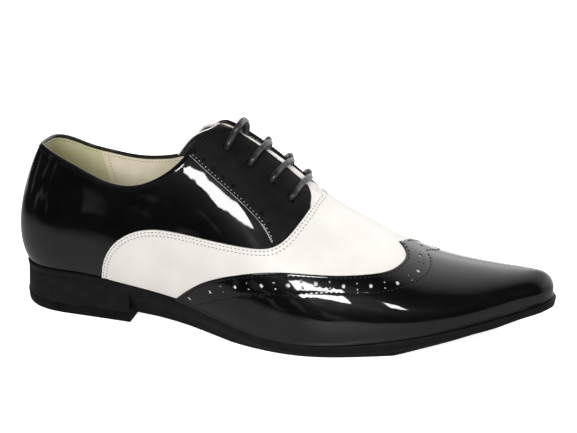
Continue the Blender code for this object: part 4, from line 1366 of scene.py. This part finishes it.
def lace_arm(number, side):
    """Waypoints from an eyelet over its facing and under the other one to the next eyelet."""
    station, reach = eyelet_reach(number, side)
    on_top = side == LATERAL
    lead = LACE_LEADS[number]
    hump = LACE_HUMPS[number] if on_top else 0.0
    points = [
        # station, distance from the ridge on the eyelet's side, height
        (station, reach, -2.6),
        (station, reach, -0.4),
        (station + 0.03 * lead, reach - 0.6, 1.6),
        (station + 0.2 * lead, reach * 0.8, 3.1),
        (station + 0.5 * lead, reach * 0.5, 3.3 + hump * 0.3),
        (station + 0.75 * lead, reach * 0.25 + 0.6, 3.5 + hump),
    ]
    if on_top:
        dive = LACE_DIVES[number]
        points += [
            (station + lead, 0.6, 3.3 + hump),
            (station + lead + dive, -2.6, 0.7 + 0.4 * hump),
            (station + lead + 1.5 * dive, -5.0, -2.4),
        ]
    else:
        points += [
            (station + lead, 2.2, 0.4),
            (station + lead + 0.6, -0.6, -1.7),
            (station + lead + 1.2, -4.0, -3.2),
        ]
    return [over_last(x, side * across, height) for x, across, height in points]


def lace_half(first_side):
    """Route of one half of the lace, from its hidden end at the top down to its last arm."""
    side = first_side
    route = lace_arm(0, side)
    for number in range(1, len(EYELETS)):
        side = -side
        station, reach = eyelet_reach(number, side)
        route.append(over_last(station - 0.6, side * (reach - 3.0), -3.3))
        route += lace_arm(number, side)
    return np.array(route)


def cord_tube(route):
    """Points and faces of a braided cord along a smooth route, rounded at both ends."""
    walk = np.append(0.0, np.cumsum(np.linalg.norm(np.diff(route, axis=0), axis=1) ** 0.5))
    fine = spline(walk, route)(np.linspace(0, walk[-1], 3000))
    run = walked(fine)
    marks = np.linspace(0, run[-1], round(run[-1] / CORD_STEP))
    centre = at_marks(marks, run, fine)
    tangent = np.gradient(centre, axis=0)
    tangent /= np.linalg.norm(tangent, axis=1, keepdims=True)
    across = np.cross(tangent[0], (0.0, 0.0, 1.0))
    angles = np.linspace(0, 2 * np.pi, CORD_SIDES, endpoint=False)
    points = []
    for k, (middle, ahead) in enumerate(zip(centre, tangent)):
        across = across - ahead * (across @ ahead)
        across /= np.linalg.norm(across)
        up = np.cross(ahead, across)
        end = min(marks[k], run[-1] - marks[k])
        cap = np.sqrt(max(0.02, 1 - (1 - min(end / CORD_RADIUS, 1)) ** 2))
        twist = 2 * np.pi * marks[k] / BRAID_TURN
        weave = np.sin(4 * angles + twist) * np.sin(4 * angles - twist)
        radius = (CORD_RADIUS - BRAID_DEPTH + BRAID_DEPTH * weave) * cap
        points.append(middle + np.outer(np.cos(angles) * radius, across)
                      + np.outer(np.sin(angles) * radius, up))
    faces = ring_faces(len(centre), CORD_SIDES)
    faces.append(tuple(range(CORD_SIDES))[::-1])
    faces.append(tuple((len(centre) - 1) * CORD_SIDES + k for k in range(CORD_SIDES)))
    return np.concatenate(points), faces, run[-1]


cord_points, cord_faces = [], []
cord_length = 0.0
for first_side in (LATERAL, MEDIAL):
    made, cells, length = cord_tube(lace_half(first_side))
    before = sum(len(points) for points in cord_points)
    cord_points.append(made)
    cord_faces += [tuple(k + before for k in cell) for cell in cells]
    cord_length += length
lace = make_piece("lace", np.concatenate(cord_points), cord_faces, [cord_finish], 1.6)
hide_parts("lace_1", "lace_2", "lace_3", "lace_4")
print("lace length in the eyelets: %.0f mm" % cord_length)


# Studio: a plain pale sweep under and behind the shoe, lit by a soft light overhead and a fill in
# front. Two low strips and a small lamp near the toe draw the bright streaks on the patent leather,
# and the table top and the room, bright behind the shoe, show only as reflections.
SWEEP_MIDDLE = 0.6
SWEEP_RADIUS = 2.2
SWEEP_CURVE = 0.8
SWEEP_WALL = 1.6
SWEEP_SIDES = 96
TABLE_FRONT, TABLE_FADE, TABLE_GLOW = -0.12, 0.07, 0.33
TABLE_HEEL, TABLE_HEEL_FADE = -0.25, 0.25
TABLE_BACK, TABLE_BACK_GLOW = (0.08, 0.25), 0.95
TABLE_HALF_LENGTH, TABLE_END = 0.7, 0.6
TABLE_DROP = 0.001
AIM_HEIGHT = 0.05
LIGHTS = (
    # name, azimuth, elevation, distance, width, height, radiance, roll, shows in reflections
    ("overhead_light", 150.0, 66.0, 1.3, 1.5, 1.1, 1.1, 0.0, False),
    ("rear_strip", -11.0, 25.0, 1.1, 0.33, 0.075, 18.0, 27.0, True),
    ("front_strip", 18.0, 17.0, 1.1, 0.40, 0.17, 18.0, 10.0, True),
    ("toe_lamp", 37.8, 19.0, 1.1, 0.035, 0.10, 18.0, 0.0, True),
    ("fill_light", -18.0, 38.0, 1.5, 1.3, 0.9, 3.8, 0.0, False),
)
ROOM_FRONT, ROOM_BACK = 0.03, 2.0
ROOM_FLOOR, ROOM_FLOOR_GLOW = (-0.02, 0.4), 0.45
ROOM_TURN = 30.0
ROOM_PATCH, ROOM_PATCHES = 0.24, 4.6
PATCH_EDGE, PATCH_FRONT = (0.56, 0.66), (-0.2, -0.5)
CAMERA_PLACE = np.array([236.0, -374.0, 231.0])
CAMERA_DOWN = 24.0
CAMERA_TURNED = 11.9
CAMERA_LENS = 46.53

sweep_paper, tree, shader, place = new_finish(
    "pale_sweep", Specular_IOR_Level=0.1, Emission_Strength=0.75,
    Emission_Color=(1.0, 1.0, 1.0, 1.0))
shade(tree, mottle(tree, place, 400.0), shader, ((0.86, 0.86, 0.86), (0.88, 0.88, 0.88)))
gloss(tree, mottle(tree, place, 60.0), shader, 0.85, 0.95)
sweep_profile = [(SWEEP_MIDDLE, 0.0), (SWEEP_RADIUS - SWEEP_CURVE, 0.0)]
for turned in np.linspace(0.1, np.pi / 2, 10):
    sweep_profile.append((SWEEP_RADIUS - SWEEP_CURVE + SWEEP_CURVE * np.sin(turned),
                          SWEEP_CURVE * (1 - np.cos(turned))))
sweep_profile.append((SWEEP_RADIUS, SWEEP_CURVE + SWEEP_WALL))
sweep_points = [(0.0, 0.0, 0.0)]
for radius, height in sweep_profile:
    for angle in np.linspace(0, 2 * np.pi, SWEEP_SIDES, endpoint=False):
        sweep_points.append((radius * np.cos(angle), radius * np.sin(angle), height))
sweep_faces = [(0, 1 + k, 1 + (k + 1) % SWEEP_SIDES) for k in range(SWEEP_SIDES)]
sweep_faces += [cell[::-1] for cell in ring_faces(len(sweep_profile), SWEEP_SIDES, 1)]


def math_node(tree, operation, *parts):
    """One value worked out from others, which go into the node's sockets in order."""
    node = tree.nodes.new("ShaderNodeMath")
    node.operation = operation
    for socket, part in zip(node.inputs, parts):
        tree.links.new(part, socket)
    return node.outputs["Value"]


def stage_piece(name, points, faces, material):
    mesh = bpy.data.meshes.new(name)
    mesh.from_pydata(points, [], faces)
    mesh.materials.append(material)
    mesh.shade_smooth()
    thing = bpy.data.objects.new(name, mesh)
    bpy.context.scene.collection.objects.link(thing)
    return thing


sweep = stage_piece("sweep", sweep_points, sweep_faces, sweep_paper)
sweep.visible_glossy = False
sweep.visible_diffuse = False

table_white, tree, shader, place = new_finish("table_white", Emission_Color=(1.0, 1.0, 1.0, 1.0))
shade(tree, mottle(tree, place, 300.0), shader, ((0.0, 0.0, 0.0), (0.01, 0.01, 0.01)))
parted = tree.nodes.new("ShaderNodeSeparateXYZ")
tree.links.new(place, parted.inputs["Vector"])
table_start = TABLE_FRONT - TABLE_FADE
fading = ramp_node(tree, parted.outputs["Y"], table_start, TABLE_FRONT, 0.0, TABLE_GLOW)
at_heel = ramp_node(tree, parted.outputs["X"], TABLE_HEEL - TABLE_HEEL_FADE, TABLE_HEEL, 0.0, 1.0)
far_back = ramp_node(tree, parted.outputs["Y"], *TABLE_BACK, 0.0, TABLE_BACK_GLOW)
table_glow = math_node(tree, "MULTIPLY_ADD", fading, at_heel, far_back)
tree.links.new(table_glow, shader.inputs["Emission Strength"])
table_corners = [
    (-TABLE_HALF_LENGTH, table_start, -TABLE_DROP), (TABLE_HALF_LENGTH, table_start, -TABLE_DROP),
    (TABLE_HALF_LENGTH, TABLE_END, -TABLE_DROP), (-TABLE_HALF_LENGTH, TABLE_END, -TABLE_DROP)]
table_top = stage_piece("table_top", table_corners, [(0, 1, 2, 3)], table_white)
table_top.visible_camera = False
table_top.visible_shadow = False

# Azimuth 0 is the outer side and 90 the toe.
for name, azimuth, elevation, distance, width, height, radiance, roll, in_reflections in LIGHTS:
    azimuth, elevation = np.radians(azimuth), np.radians(elevation)
    away = Vector((np.sin(azimuth) * np.cos(elevation), -np.cos(azimuth) * np.cos(elevation),
                   np.sin(elevation)))
    light = bpy.data.lights.new(name, "AREA")
    light.shape = "RECTANGLE"
    light.size, light.size_y = width, height
    light.energy = radiance * np.pi * width * height
    lamp = bpy.data.objects.new(name, light)
    lamp.location = away * distance + Vector((0.0, 0.0, AIM_HEIGHT))
    lamp.rotation_euler = (-away).to_track_quat("-Z", "Y").to_euler()
    lamp.rotation_euler.rotate_axis("Z", np.radians(roll))
    lamp.visible_camera = False
    lamp.visible_glossy = in_reflections
    bpy.context.scene.collection.objects.link(lamp)

world = bpy.data.worlds.new("studio_room")
world.use_nodes = True
tree = world.node_tree
background = tree.nodes["Background"]
background.inputs["Color"].default_value = (1.0, 1.0, 1.0, 1.0)
direction = tree.nodes.new("ShaderNodeTexCoord").outputs["Generated"]
turned_room = tree.nodes.new("ShaderNodeVectorRotate")
turned_room.rotation_type = "Z_AXIS"
turned_room.inputs["Angle"].default_value = np.radians(ROOM_TURN)
tree.links.new(direction, turned_room.inputs["Vector"])
parted = tree.nodes.new("ShaderNodeSeparateXYZ")
tree.links.new(turned_room.outputs["Vector"], parted.inputs["Vector"])
behind = ramp_node(tree, parted.outputs["Y"], 0.0, 1.0, ROOM_FRONT, ROOM_BACK, "LINEAR")
above = ramp_node(tree, parted.outputs["Z"], *ROOM_FLOOR, ROOM_FLOOR_GLOW, 1.0)
cloud = tree.nodes.new("ShaderNodeTexNoise")
cloud.inputs["Scale"].default_value = ROOM_PATCHES
cloud.inputs["Detail"].default_value = 1.0
tree.links.new(turned_room.outputs["Vector"], cloud.inputs["Vector"])
patches = ramp_node(tree, cloud.outputs["Fac"], *PATCH_EDGE, 0.0, ROOM_PATCH)
in_front = ramp_node(tree, parted.outputs["Y"], *PATCH_FRONT, 0.0, 1.0)
patch_glow = math_node(tree, "MULTIPLY", patches, in_front)
room_glow = math_node(tree, "MULTIPLY_ADD", behind, above, patch_glow)
tree.links.new(room_glow, background.inputs["Strength"])
bpy.context.scene.world = world
bpy.context.scene.view_settings.view_transform = "Standard"

camera_data = bpy.data.cameras.new("camera")
camera_data.lens = CAMERA_LENS
camera_data.sensor_width = 36.0
camera_data.sensor_fit = "HORIZONTAL"
camera_data.clip_start = 0.01
camera = bpy.data.objects.new("camera", camera_data)
camera.location = (CAMERA_PLACE + SHIFT) * MM
camera.rotation_euler = (np.radians(90.0 - CAMERA_DOWN), 0.0, np.radians(CAMERA_TURNED))
bpy.context.scene.collection.objects.link(camera)
bpy.context.scene.camera = camera
